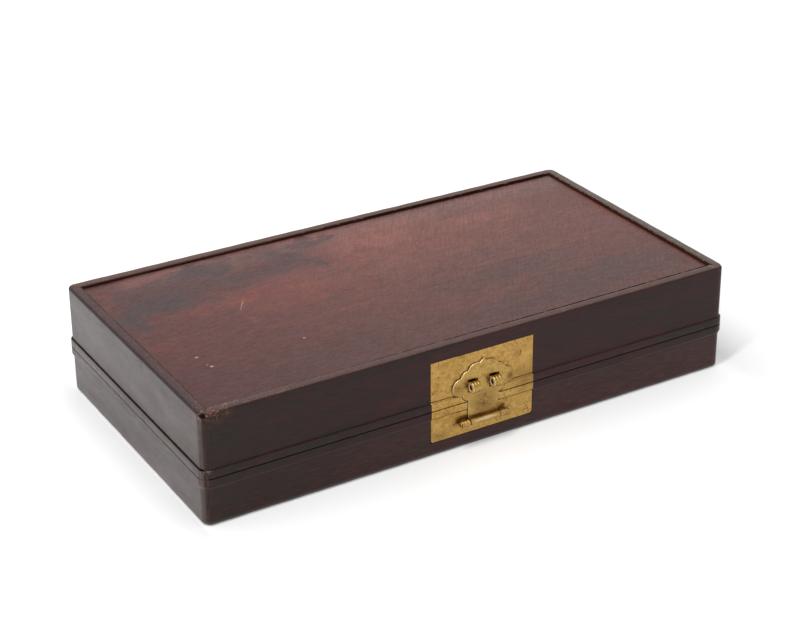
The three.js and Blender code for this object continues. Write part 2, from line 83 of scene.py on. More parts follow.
class Value:
    """An output socket that can be used in sums, each of which adds a Math node."""

    def __init__(self, shader: "Shader", socket: bpy.types.NodeSocket) -> None:
        self.shader = shader
        self.socket = socket

    def math(self, operation: str, *others: Link) -> "Value":
        """One Math node with this value first."""
        return self.shader.math(operation, self, *others)

    def __add__(self, other: Link) -> "Value":
        """This plus the other."""
        return self.math("ADD", other)

    def __mul__(self, other: Link) -> "Value":
        """This times the other."""
        return self.math("MULTIPLY", other)

    def __sub__(self, other: Link) -> "Value":
        """This less the other."""
        return self.math("SUBTRACT", other)

    def __rsub__(self, other: Link) -> "Value":
        """The other less this."""
        return self.shader.math("SUBTRACT", other, self)

    __radd__ = __add__
    __rmul__ = __mul__

    def __abs__(self) -> "Value":
        """This without its sign."""
        return self.math("ABSOLUTE")

    def larger(self, other: Link) -> "Value":
        """The larger of this and the other."""
        return self.math("MAXIMUM", other)

    def smaller(self, other: Link) -> "Value":
        """The smaller of this and the other."""
        return self.math("MINIMUM", other)

    def step(self, low: float, high: float, start: float = 0.0, end: float = 1.0) -> "Value":
        """A smooth change from start to end while this goes from low to high.

        Args:
            low: where the change starts.
            high: where it ends.
            start: the result up to low.
            end: the result from high on.

        Returns:
            The changed value.
        """
        settings = {"interpolation_type": "SMOOTHSTEP"}
        values = {"Value": self, "From Min": low, "From Max": high, "To Min": start, "To Max": end}
        return self.shader.node("ShaderNodeMapRange", settings, values)

    def fall(self, low: float, high: float, end: float = 0.0) -> "Value":
        """A smooth change from 1 to end while this goes from low to high."""
        return self.step(low, high, 1.0, end)

    def around(self, place: float, full: float, none: float, end: float = 0.0) -> "Value":
        """1 up to the distance full from a place, and end from the distance none on."""
        return abs(self - place).fall(full, none, end)


class Shader:
    """The node tree of a material or a world, filled through one method that makes any node."""

    def __init__(self, owner: Union[Material, bpy.types.World]) -> None:
        self.owner = owner
        self.owner.use_nodes = True
        self.tree = owner.node_tree
        self.tree.nodes.clear()

    @cached_property
    def point(self) -> Value:
        """The point that is shaded, in millimetres."""
        return self.scaled(self.node("ShaderNodeTexCoord", {}, {}, "Object"), 1.0 / METRE)

    @cached_property
    def axes(self) -> tuple[Value, Value, Value]:
        """X, Y and Z of the point that is shaded."""
        return tuple(self.node("ShaderNodeSeparateXYZ", {}, {0: self.point}, axis) for axis in range(3))

    def node(
        self, kind: str, settings: dict, sockets: dict, output: Union[int, str] = 0
    ) -> Union[Value, None]:
        """Makes one node.

        Args:
            kind: the node's type.
            settings: its properties, and "stops" for a ramp, set before the sockets.
            sockets: values or links by the socket's name or place among those in use.
            output: the name or place of the output that is wanted.

        Returns:
            The output, ready for sums, or nothing for an end node.
        """
        made = self.tree.nodes.new(kind)
        for name, value in settings.items():
            if name == "stops":
                self._set_stops(made.color_ramp, value)
            else:
                setattr(made, name, value)
        inputs = [s for s in made.inputs if s.enabled]
        by_name = {s.name: s for s in reversed(inputs)}
        for key, value in sockets.items():
            self._feed(inputs[key] if isinstance(key, int) else by_name[key], value)
        outputs = [s for s in made.outputs if s.enabled]
        if not outputs:
            return None
        if isinstance(output, int):
            return Value(self, outputs[output])
        return Value(self, next(s for s in outputs if s.name == output))

    def _feed(self, socket: bpy.types.NodeSocket, value: Link) -> None:
        """Links a value to a socket, or writes a plain number or colour into it."""
        if isinstance(value, Value):
            self.tree.links.new(value.socket, socket)
        elif isinstance(value, tuple) and socket.type == "RGBA":
            socket.default_value = (*value, 1.0)
        else:
            socket.default_value = value

    @staticmethod
    def _set_stops(ramp: bpy.types.ColorRamp, stops: Sequence[tuple[float, Triple]]) -> None:
        """Gives a ramp its stops, each a place and a colour."""
        while len(ramp.elements) < len(stops):
            ramp.elements.new(1.0)
        for element, (place, colour) in zip(ramp.elements, stops):
            element.position = place
            element.color = (*colour, 1.0)

    def math(self, operation: str, *values: Link) -> Value:
        """One Math node."""
        return self.node("ShaderNodeMath", {"operation": operation}, dict(enumerate(values)))

    def vector(self, operation: str, *vectors: Link, output: str = "Vector") -> Value:
        """One Vector Math node."""
        settings = {"operation": operation}
        return self.node("ShaderNodeVectorMath", settings, dict(enumerate(vectors)), output)

    def scaled(self, vector: Value, factor: float) -> Value:
        """A vector times a number."""
        return self.vector("MULTIPLY", vector, (factor, factor, factor))

    def mapped(self, centre: Triple, turn: float, size: Triple, point: Union[Value, None] = None) -> Value:
        """A point as seen from a centre, turned about Z by degrees and divided by sizes."""
        rotation = (0.0, 0.0, np.radians(turn))
        values = {"Vector": point or self.point, "Location": centre, "Rotation": rotation, "Scale": size}
        return self.node("ShaderNodeMapping", {"vector_type": "TEXTURE"}, values)

    def strayed(self, stretch: Triple, reach: float) -> Value:
        """The point that is shaded, moved about by noise, so that shapes drawn with it are ragged.

        Args:
            stretch: size of the noise's lumps on X, Y and Z.
            reach: how far a point may stray, in millimetres.

        Returns:
            The moved point.
        """
        values = {"Vector": self.mapped((0.0, 0.0, 0.0), 0.0, stretch), "Scale": 1.0, "Detail": 3.0}
        lumps = self.node("ShaderNodeTexNoise", {"noise_dimensions": "3D"}, values, "Color")
        away = self.scaled(self.vector("SUBTRACT", lumps, (0.5, 0.5, 0.5)), reach * 2.0)
        return self.vector("ADD", self.point, away)

    def noise(
        self, stretch: Triple, detail: float = 2.0, twist: float = 0.0, place: Triple = (0, 0, 0),
        turn: float = 0.0,
    ) -> Value:
        """Noise whose lumps are about as large as stretch, in millimetres, on each axis.

        Args:
            stretch: size of the lumps on X, Y and Z.
            detail: how many finer layers are added.
            twist: how far the lumps are pulled about.
            place: shift of the pattern, in lumps, so that two pieces differ.
            turn: turn of the pattern about Z, in degrees.

        Returns:
            Noise around one half.
        """
        start = tuple(-float(p) * s for p, s in zip(place, stretch))
        values = {"Vector": self.mapped(start, turn, stretch), "Scale": 1.0, "Detail": detail}
        values["Distortion"] = twist
        return self.node("ShaderNodeTexNoise", {"noise_dimensions": "3D"}, values)

    def ramp(self, share: Value, *stops: tuple[float, Triple]) -> Value:
        """The colour of a share on a ramp of stops."""
        return self.node("ShaderNodeValToRGB", {"stops": stops}, {0: share})

    def mix(self, factor: Link, first: Link, second: Link) -> Value:
        """The first colour where factor is 0 and the second where it is 1."""
        settings = {"data_type": "RGBA", "clamp_factor": True}
        return self.node("ShaderNodeMix", settings, {0: factor, 1: first, 2: second})

    def tint(self, colour: Link, factor: Value) -> Value:
        """A colour made lighter or darker by a factor."""
        grey = self.node("ShaderNodeCombineXYZ", {}, {0: factor, 1: factor, 2: factor})
        return self.vector("MULTIPLY", colour, grey)

    def blot(
        self, centre: Triple, radii: Triple, soft: float = 0.25, turn: float = 0.0,
        point: Union[Value, None] = None,
    ) -> Value:
        """A soft round spot.

        Args:
            centre: its middle, in millimetres.
            radii: how far it reaches on each axis.
            soft: share of the reach up to which it is full.
            turn: turn about Z, in degrees.
            point: the point, where it isn't the one that is shaded.

        Returns:
            1 in the middle, 0 outside.
        """
        return self.vector("LENGTH", self.mapped(centre, turn, radii, point), output="Value").fall(soft, 1.0)

    def finish(
        self, colour: Link, rough: Link, bump: Value, depth: float, dull: Link = 0.0, **others: Link
    ) -> Material:
        """Ends the tree in a Principled shader with a bump.

        Args:
            colour: base colour.
            rough: roughness.
            bump: height pattern around one half.
            depth: height of the bump in millimetres.
            dull: how far the same colour shows without any gloss.
            others: other sockets of the shader by name, with underscores for spaces.

        Returns:
            The material.
        """
        normal = self.node("ShaderNodeBump", {}, {"Strength": 1.0, "Distance": depth * METRE, "Height": bump})
        sockets = {"Base Color": colour, "Roughness": rough, "Normal": normal}
        sockets.update({name.replace("_", " "): value for name, value in others.items()})
        shader = self.node("ShaderNodeBsdfPrincipled", {}, sockets)
        if isinstance(dull, Value):
            matt_sockets = {"Base Color": colour, "Roughness": 0.9, "Specular IOR Level": 0.0}
            matt = self.node("ShaderNodeBsdfPrincipled", {}, matt_sockets)
            shader = self.node("ShaderNodeMixShader", {}, {0: dull, 1: shader, 2: matt})
        self.node("ShaderNodeOutputMaterial", {"target": "ALL"}, {"Surface": shader})
        return self.owner


@dataclass(frozen=True)
class WoodFinish:
    """Dark hardwood with a hand-rubbed surface."""

    name: str
    grain: Grain
    ground: Triple = (0.030, 0.0088, 0.0070)
    dark: Triple = (0.012, 0.0062, 0.0055)
    red: Triple = (0.060, 0.0105, 0.0080)
    worn: Triple = (0.085, 0.040, 0.032)
    rough: float = 0.40
    specular: float = 0.30
    relief: float = 0.03
    place: Triple = (0.0, 0.0, 0.0)

    def colour(self, shader: Shader, broad: Value, lines: Value) -> Value:
        """Triple of sound wood, before wear, from its broad figure and growth lines."""
        stops = (0.36, self.dark), (0.50, self.ground), (0.66, self.red)
        return shader.ramp(broad * 0.7 + lines * 0.3, *stops)

    def wear(self, shader: Shader, colour: Value) -> tuple[Value, Value, Link]:
        """Plain wood has no marks of wear; other finishes add them.

        Args:
            shader: the tree that is filled.
            colour: colour of the sound wood.

        Returns:
            The colour with wear, how far the roughness rises, and where the gloss is taken away.
        """
        return colour, shader.noise((31, 27, 24), 2.0, 0.0, self.place) * 0.1, 0.0

    def gloss(self, shader: Shader) -> dict:
        """Further sockets of the shader; other finishes add to them."""
        return {"Specular_IOR_Level": self.specular}

    def material(self) -> Material:
        """The finish with broad figure, growth lines and pores, all noises in Object coordinates.

        Returns:
            The material.
        """
        shader = Shader(bpy.data.materials.new(self.name))
        broad = shader.noise(self.grain.stretch(95, 13), 3.0, 0.7, self.place)
        lines = shader.noise(self.grain.stretch(60, 1.7), 3.0, 0.25, self.place)
        pores = shader.noise(self.grain.stretch(4.5, 0.32), 1.0, 0.0, self.place)
        pitted = pores.step(0.60, 0.74)
        sound = shader.tint(self.colour(shader, broad, lines), 1.0 - pitted * 0.35)
        colour, rise, dull = self.wear(shader, sound)
        rough = rise + (self.rough - 0.05) + lines * 0.06
        bump = lines * 0.5 + pores * 0.25 - pitted * 0.5
        return shader.finish(colour, rough, bump, self.relief, dull, **self.gloss(shader))


@dataclass(frozen=True)
class BoardFinish(WoodFinish):
    """Outside of the case: greyish dark wood, worn rims, painted shade in the parting and over the ledge."""

    ground: Triple = (0.0250, 0.0080, 0.0068)
    dark: Triple = (0.0150, 0.0080, 0.0062)
    red: Triple = (0.0360, 0.0080, 0.0072)
    blush: Triple = (0.0460, 0.0070, 0.0085)
    dusty: Triple = (0.0130, 0.0100, 0.0075)
    rim: Triple = (0.088, 0.040, 0.034)
    # One dark colour for painted shade in crevices and for dark marks such as the knock.
    shade_and_grime: Triple = (0.0030, 0.0017, 0.0014)
    # Painted reflection of the floor on the foot.
    foot: Triple = (0.110, 0.112, 0.108)
    fleck: Triple = (0.34, 0.24, 0.19)
    pale: Triple = (0.230, 0.180, 0.155)
    lower: Triple = (0.075, 0.030, 0.027)
    russet: Triple = (0.100, 0.030, 0.017)
    half_length: float = LENGTH / 2
    half_width: float = WIDTH / 2
    ledge: float = 37.3
    slope: float = 26.7
    # How strongly shade is painted over the ledge, in the parting, on the top arris and in the recess; the
    # arris's paleness is not shade.
    ledge_shade: float = 0.3
    parting_shade: float = 1.0
    arris_shade: float = 0.0
    arris_light: float = 0.0
    recess_shade: float = 0.95
    coat: float = 0.0
    corner_reach: float = 4.5

    def outward(self, shader: Shader) -> Value:
        """Distance outside the walls' faces, below zero inside them."""
        x, y, _ = shader.axes
        return (abs(x) - self.half_length).larger(abs(y) - self.half_width)

    def colour(self, shader: Shader, broad: Value, lines: Value) -> Value:
        """Triple of sound wood: low contrast, with reddish patches and a redder base.

        Args:
            shader: the tree that is filled.
            broad: the broad figure.
            lines: the growth lines.

        Returns:
            The colour before wear.
        """
        x, _, z = shader.axes
        patch = shader.noise((30, 30, 7), 4.0, 0.6, self.place)
        fibres = shader.noise(self.grain.stretch(9, 1.1), 3.0, 0.3, self.place)
        upper = super().colour(shader, broad, lines)
        plain = shader.mix(z.fall(22, 27) * x.step(-190, 190, 0.22, 0.46), upper, self.lower)
        aged = shader.mix(x.step(-170, -60, 0.65, 0.1) + (patch - 0.5) * 0.8, plain, self.dusty)
        blushed = shader.mix(patch.step(0.50, 0.70) * 0.55, aged, self.blush)
        return shader.tint(blushed, (fibres - 0.5) * z.step(22, 27, 2.0, 1.2) + 1.04)

    def wear(self, shader: Shader, colour: Value) -> tuple[Value, Value, Link]:
        """Rubbed rim and corners, pale flecks and a dark knock, with painted light: a lighter line on the
        band's slope, a grey reflection of the floor on the foot, and shade in the parting, over the ledge, in
        the recess and on the left end's top arris; the corners' light streaks are partly a painted highlight.

        Args:
            shader: the tree that is filled.
            colour: colour of the sound wood.

        Returns:
            The colour with wear and painted light, how far the roughness rises, and where painted shade, the
            knock and the slope take the gloss.
        """
        x, y, z = shader.axes
        out = self.outward(shader)
        cloud = shader.noise((22, 22, 12), 3.0, 0.3, self.place)
        grit = shader.noise((1.1, 1.1, 1.1), 2.0, 0.0, self.place)
        ragged = shader.noise((5, 5, 3), 3.0, 0.2, self.place)
        streaks = shader.noise((1.3, 1.3, 16), 3.0, 0.2, self.place)
        corner_x = abs(x).step(self.half_length - self.corner_reach, self.half_length)
        corner = corner_x * abs(y).step(self.half_width - self.corner_reach, self.half_width)
        rim = z.step(HEIGHT - 0.4, HEIGHT - 0.06)
        worn = shader.mix((rim * (0.35 + cloud * 0.5 + grit * 0.7)).smaller(1.0), colour, self.rim)
        lip = out.step(0.35, 0.8)
        # A lighter line on the band's slope is a painted reflection of the floor.
        slope = z.around(self.slope, 0.15, 0.7) * lip
        knocked = corner * z.around(PARTING + 4.0, 2, 7, 0.12)
        # Light streaks on the vertical corners: partly wear, partly a painted highlight on the rounding.
        edge = corner.step(0.06, 0.42) * streaks.step(0.36, 0.62) * 0.40
        edge = edge.larger(abs(x).step(178, 189.5) * streaks.step(0.40, 0.70) * 0.25)
        rubbed_and_lit = (slope * 0.22).larger(knocked * ragged.step(0.42, 0.62) * 0.6).larger(edge)
        worn = shader.mix(rubbed_and_lit, worn, self.worn)
        brown = shader.blot((-184, -98, 71), (22, 14, 9), 0.2) * ragged.step(0.40, 0.60)
        worn = shader.mix(brown * 0.5, worn, self.russet)
        # A grey band on the foot is a painted reflection of the floor.
        worn = shader.mix(z.step(0.5, 3.4, 0.7, 0.0), worn, self.foot)
        deep = self.shade_and_dark_line(shader, out, lip, ragged)
        arris = out.step(-2.0, -1.3) * z.step(HEIGHT - 1.8, HEIGHT - 0.9)
        pale = shader.mix(arris * self.arris_light * (cloud + 0.4), worn, self.pale)
        # Painted shade in the parting, over the ledge, in the recess and on the top arris, in one dark
        # colour.
        shaded_and_dirty = shader.mix(deep.larger(arris * self.arris_shade), pale, self.shade_and_grime)
        knock = shader.blot((-187.6, -98, 72.4), (2.6, 2.6, 1.9), 0.5)
        shaded_and_dirty = shader.mix(knock * 0.9, shaded_and_dirty, self.shade_and_grime)
        ends = (x.fall(-165, -120, 0.25) * y.fall(-95, -60, 0.3)).larger(x.step(172, 184))
        around = shader.blot((-184, -97, 72.8), (20, 11, 5), 0.3) * (1.0 - knock)
        nick = shader.blot((-190, -100, 36.6), (7, 6, 2), 0.4)
        spots = (rim * ends * 0.8).larger(knocked).larger(around).larger(nick)
        fleck = spots * (grit * 0.75 + ragged * 0.25).step(0.56, 0.63)
        flecked = shader.mix(fleck * 0.7, shaded_and_dirty, self.fleck)
        return flecked, rubbed_and_lit * 0.06 + cloud * 0.08, deep.larger(knock * 0.8).larger(slope * 0.4)

    def shade_and_dark_line(self, shader: Shader, out: Value, lip: Value, ragged: Value) -> Value:
        """Where shade is painted: in the parting, over the ledge and round the recess; and a dark line on the
        recess's brink.

        Args:
            shader: the tree that is filled.
            out: distance outside the walls' faces.
            lip: 1 on the outside of the bands.
            ragged: a pattern around one half.

        Returns:
            How strongly it shows.
        """
        x, _, z = shader.axes
        outside = out.step(-3.4, -2.6)
        # Each of these masks is painted shade, except the dark line on the brink.
        parting = z.around(PARTING, 0.15, 0.55) * lip * self.parting_shade
        over = z.step(self.ledge - 0.3, self.ledge - 0.02) * z.fall(self.ledge + 0.25, self.ledge + 0.85)
        ledge = over * (1.0 - lip) * outside * x.fall(-150, 40, 0.4) * self.ledge_shade
        recess = (1.0 - outside) * z.step(71.5, 72.2) * z.fall(HEIGHT - 1.5, HEIGHT - 0.9)
        brink = out.fall(1.10 - BOARD, 1.60 - BOARD) * z.step(HEIGHT - 1.0, HEIGHT - 0.8)
        inner = brink * x.step(-140, 60, 0.35, 1.0) * ragged.step(0.34, 0.46, 0.3, 1.0)
        return parting.larger(ledge).larger(recess * self.recess_shade).larger(inner)

    def gloss(self, shader: Shader) -> dict:
        """A patchy coat on the walls' faces, but not on the rim.

        Args:
            shader: the tree that is filled.

        Returns:
            Values of the shader's gloss sockets.
        """
        if not self.coat:
            return super().gloss(shader)
        z = shader.axes[2]
        faces = self.outward(shader).step(-2.2, -1.0) * z.fall(HEIGHT - 2.2, HEIGHT - 1.0)
        cloud = shader.noise((30, 38, 13), 4.0, 0.5, self.place)
        fine = shader.noise((3, 5, 1.6), 3.0, 0.2, self.place)
        patchy = (cloud * 0.6 + fine * 0.4 - 0.5) * 2.0 + 0.98
        weight = faces * self.coat * z.fall(30, 34, 0.90) * patchy
        return {**super().gloss(shader), "Coat_Weight": weight, "Coat_Roughness": 0.36, "Coat_IOR": 1.7}


@dataclass(frozen=True)
class Blot:
    """A soft patch: its middle on the two axes of a face, its reach, its strength and its turn."""

    x: float
    y: float
    long: float
    wide: float
    strength: float = 1.0
    turn: float = 0.0


def blots(*rows: Sequence[float]) -> tuple[Blot, ...]:
    """Patches from rows of numbers, in the order of Blot's fields."""
    return tuple(Blot(*row) for row in rows)


@dataclass(frozen=True)
class PanelFinish(WoodFinish):
    """The top panel: reddish wood with smoky clouds, a pale field and a fine slanting ripple."""

    left: Triple = (0.074, 0.0085, 0.0050)
    right: Triple = (0.116, 0.0270, 0.0180)
    rose: Triple = (0.250, 0.0720, 0.0520)
    glow: Triple = (0.205, 0.0300, 0.0150)
    smoke: Triple = (0.036, 0.0150, 0.0155)
    # Grey layer at the back: partly dust, partly a painted stronger sheen.
    dust_and_sheen: Triple = (0.150, 0.0700, 0.0610)
    dusk: Triple = (0.075, 0.0220, 0.0180)
    # Painted shade along the frame.
    shade_and_grime: Triple = (0.012, 0.0030, 0.0022)
    ember: Triple = (0.130, 0.0200, 0.0080)
    inner: Triple = (0.120, 0.046, 0.029)
    speck: Triple = (0.50, 0.36, 0.29)
    rough: float = 0.36
    specular: float = 0.27
    half_length: float = LENGTH / 2 - BOARD
    half_width: float = WIDTH / 2 - BOARD
    surface: float = 72.0
    clouds: tuple[Blot, ...] = blots(
        (-172, 30, 13, 17, 1.0, -20), (-152, 46, 32, 19, 1.0, 4), (-130, 33, 26, 7, 0.7, 6),
        (-108, 74, 36, 12, 0.95, 8), (-140, 60, 22, 9, 0.6, 20), (-150, 67, 36, 15, 0.45, 10),
        (-90, 82, 14, 9, 0.5, 20), (-50, 67, 24, 17, 0.75, -40), (-34, 46, 15, 8, 0.75, -80),
        (-24, 80, 24, 8, 0.8, -4), (-62, 82, 24, 10, 0.55), (-84, 52, 60, 13, 0.62, 3),
        (-172, 88, 24, 6, 0.35), (-118, 53, 40, 12, 0.6, 8),
    )
    shades: tuple[Blot, ...] = blots(
        (-135, -14, 40, 6, 0.6, 4), (-60, -70, 90, 26, 0.35), (60, -74, 110, 22, 0.85),
        (120, -62, 96, 30, 0.9, 4), (60, 4, 70, 8, 0.25, 2), (-20, -50, 60, 12, 0.3), (70, -28, 110, 24, 0.8),
    )
    fires: tuple[Blot, ...] = blots(
        (-96, 26, 32, 13, 1.0, 4), (-62, 24, 36, 16, 0.85), (-70, 8, 60, 16, 0.55),
        (-128, 26, 30, 8, 0.6, 10), (-182, 30, 6, 9, 0.5), (-174, 70, 9, 11, 0.7, 10),
        (-140, 80, 26, 6, 0.45, 12), (-180, 60, 6, 10, 0.4), (-172, -8, 24, 12, 0.15),
        (-110, -2, 12, 8, 0.6), (-8, 36, 30, 8, 0.5, 12), (64, 40, 70, 16, 0.32, 4),
        (-100, 44, 34, 9, 0.4, 4), (-122, 30, 22, 8, 0.9, 6), (80, 22, 60, 12, 0.2),
        (182, 20, 9, 70, 0.45), (182, -66, 8, 40, 0.35),
    )
    fields: tuple[Blot, ...] = blots(
        (26, 66, 74, 34, 1.0, 4), (92, 52, 74, 26, 0.65, 6), (20, 38, 90, 26, 0.45, 4),
        (120, 84, 80, 22, 0.35), (-30, 86, 130, 14, 0.5), (20, 28, 190, 34, 0.3),
        (48, 62, 26, 34, 0.55), (-136, 85, 44, 9, 0.4, 4),
    )
    streaks: tuple[Blot, ...] = blots(
        (0, 46, 30, 1.6, 0.6, 12), (52, 48, 34, 1.5, 0.6, 1), (108, 52, 34, 1.5, 0.6, 11),
        (82, -3, 38, 0.9, 0.5), (106, -21, 24, 0.9, 0.3, 58), (-102, 21, 22, 0.6, 0.7, 58),
        (-108, -5, 6, 2.0, 0.5, 70), (-150, -3, 40, 1.2, 0.35, 2), (-110, 33, 40, 1.1, 0.45, 3),
        (-60, -22, 60, 1.0, 0.25, 3),
    )
    specks: tuple[Blot, ...] = blots(
        (-160, -32, 1.5, 1.1), (-157, -47, 1.7, 1.3), (-158.5, -44, 1.0, 0.8, 0.7), (-93, -43, 1.5, 1.0, 0.7),
        (-105.5, 17, 11, 0.35, 0.8, 58),
    )

    def patches(self, shader: Shader, found: Iterable[Blot], point: Value, soft: float = 0.1) -> Value:
        """All the patches of a kind, the strongest of them at each point.

        Args:
            shader: the tree that is filled.
            found: where the patches lie.
            point: the point that is shaded, strayed so that their edges are ragged.
            soft: share of each patch up to which it is full.

        Returns:
            How strongly the patches show.
        """
        spots = [
            shader.blot((b.x, b.y, self.surface), (b.long, b.wide, FAR), soft, b.turn, point) * b.strength
            for b in found
        ]
        return reduce(Value.larger, spots)

    def colour(self, shader: Shader, broad: Value, lines: Value) -> Value:
        """Triple of the panel, from dark red on the left to pale brown at the back, whose grey layer is
        partly dust and partly a painted stronger sheen.

        Args:
            shader: the tree that is filled.
            broad: the broad figure.
            lines: the growth lines.

        Returns:
            The colour before wear.
        """
        x, y, z = shader.axes
        soft = shader.noise((20, 12, 20), 4.0, 0.5)
        fine = shader.noise((2.6, 2, 3), 3.0)
        fibres = shader.noise((9, 1.5, 6), 3.0, 0.3, (1, 4, 2), 3.0)
        far, near = shader.strayed((26, 15, 26), 16.0), shader.strayed((14, 3, 14), 3.0)
        far = shader.vector("ADD", far, shader.vector("SUBTRACT", near, shader.point))
        plain = shader.mix(x.step(-200, 50) + (soft - 0.5) * 0.5, self.left, self.right)
        # A grey layer at the back paints dust and the stronger sheen there.
        haze = shader.mix(y.step(60, 86) * x.step(-190, -120) * 0.85, plain, self.dust_and_sheen)
        rosy = shader.mix(self.patches(shader, self.fields, far) * (soft * 0.8 + 0.5) * 0.85, haze, self.rose)
        toned = shader.mix(self.patches(shader, self.shades, far), rosy, self.dusk)
        fire = self.patches(shader, self.fires, far) * (soft * 0.9 + 0.45)
        streak = self.patches(shader, self.streaks, near, 0.0)
        lit = shader.mix(streak * 0.6, shader.mix(fire * 0.62, toned, self.glow), self.rose)
        smoke = self.patches(shader, self.clouds, far, 0.45) * (soft * 0.7 + 0.6)
        dim = shader.mix(z.fall(69, 71), shader.mix(smoke * 0.9, lit, self.smoke), self.inner)
        stripes = shader.noise((120, 1.5, 30), 2.0, 0.1, (4, 7, 1)) - 0.5
        striped = stripes * abs(y + 10.0).step(6, 24) * -0.9 + stripes
        grain = lines * 0.36 + broad * 0.16 + soft * 0.30 + fine * 0.80 + fibres + striped * 0.7 - 0.31
        return shader.tint(dim, grain * y.step(-96, -4, 0.74, 1.0) * self.ripple(shader))

    def gloss(self, shader: Shader) -> dict:
        """A thin coat, patchy like the fibres under it.

        Args:
            shader: the tree that is filled.

        Returns:
            Values of the shader's gloss sockets.
        """
        fine = shader.noise((2.4, 2.1, 3), 2.0, 0.0, (3, 9, 1))
        fibres = shader.noise((11, 1.7, 6), 2.0, 0.3, (6, 1, 2), 3.0)
        mottle = shader.noise((8, 4.5, 6), 3.0, 0.4, (2, 5, 8))
        weight = (fine * 0.35 + fibres * 0.35 + mottle * 0.3 - 0.5) * 1.15 + 0.13
        return {**super().gloss(shader), "Coat_Weight": weight.larger(0.0), "Coat_Roughness": 0.36}

    def ripple(self, shader: Shader) -> Value:
        """Fine ripple that slants across the panel, strongest on the right.

        Args:
            shader: the tree that is filled.

        Returns:
            A factor around one.
        """
        x, y, _ = shader.axes
        bend = shader.noise((60, 45, 60), 1.0)
        blur = shader.noise((9, 7, 9))
        streaks = shader.noise((15, 1.3, 60), 1.0, 0.0, (2, 5, 0), 58.0)
        phase = (x * 0.85 - y * 0.53 + bend * 16.0) * (2.0 * np.pi / 3.1)
        wave = phase.math("SINE") * blur.step(0.35, 0.6) * 0.10 + (streaks - 0.5) * 0.9
        return wave * x.step(-120, 60, 0.25, 1.0) + 1.0

    def wear(self, shader: Shader, colour: Value) -> tuple[Value, Value, Link]:
        """Pale specks, a short scratch, and painted shade along the frame.

        Args:
            shader: the tree that is filled.
            colour: colour of the sound wood.

        Returns:
            The colour with wear and painted shade, how far the roughness rises, and where the painted shade
            takes the gloss.
        """
        x, y, z = shader.axes
        grit = shader.noise((0.8, 0.8, 0.8))
        haze = shader.noise((40, 34, 40), 3.0)
        ragged = shader.noise((9, 9, 9), 3.0, 0.2) - 0.5
        frame_edge = (x - self.half_length).larger(abs(y) - self.half_width) + ragged * 2.4
        # Painted shade on the panel along the frame, where the rim shades it.
        frame_shade = frame_edge.step(-1.3, -0.4)
        strength = x.step(174, 178, 0.8, 0.15).smaller(y.step(86, 90, 0.8, 0.45))
        left = ragged * 1.5 - (x + self.half_length)
        aged = shader.mix(frame_shade * strength, colour, self.shade_and_grime)
        aged = shader.mix(left.step(-1.6, -0.4) * 0.7, aged, self.ember)
        marks = self.patches(shader, self.specks, shader.strayed((1.2, 1.2, 1.2), 0.8), 0.3) * (grit + 0.4)
        shown = (marks * z.step(69, 71)).step(0.15, 0.6) * 0.7
        return shader.mix(shown, aged, self.speck), haze * 0.10, frame_shade * x.step(174, 178, 0.5, 0.1)


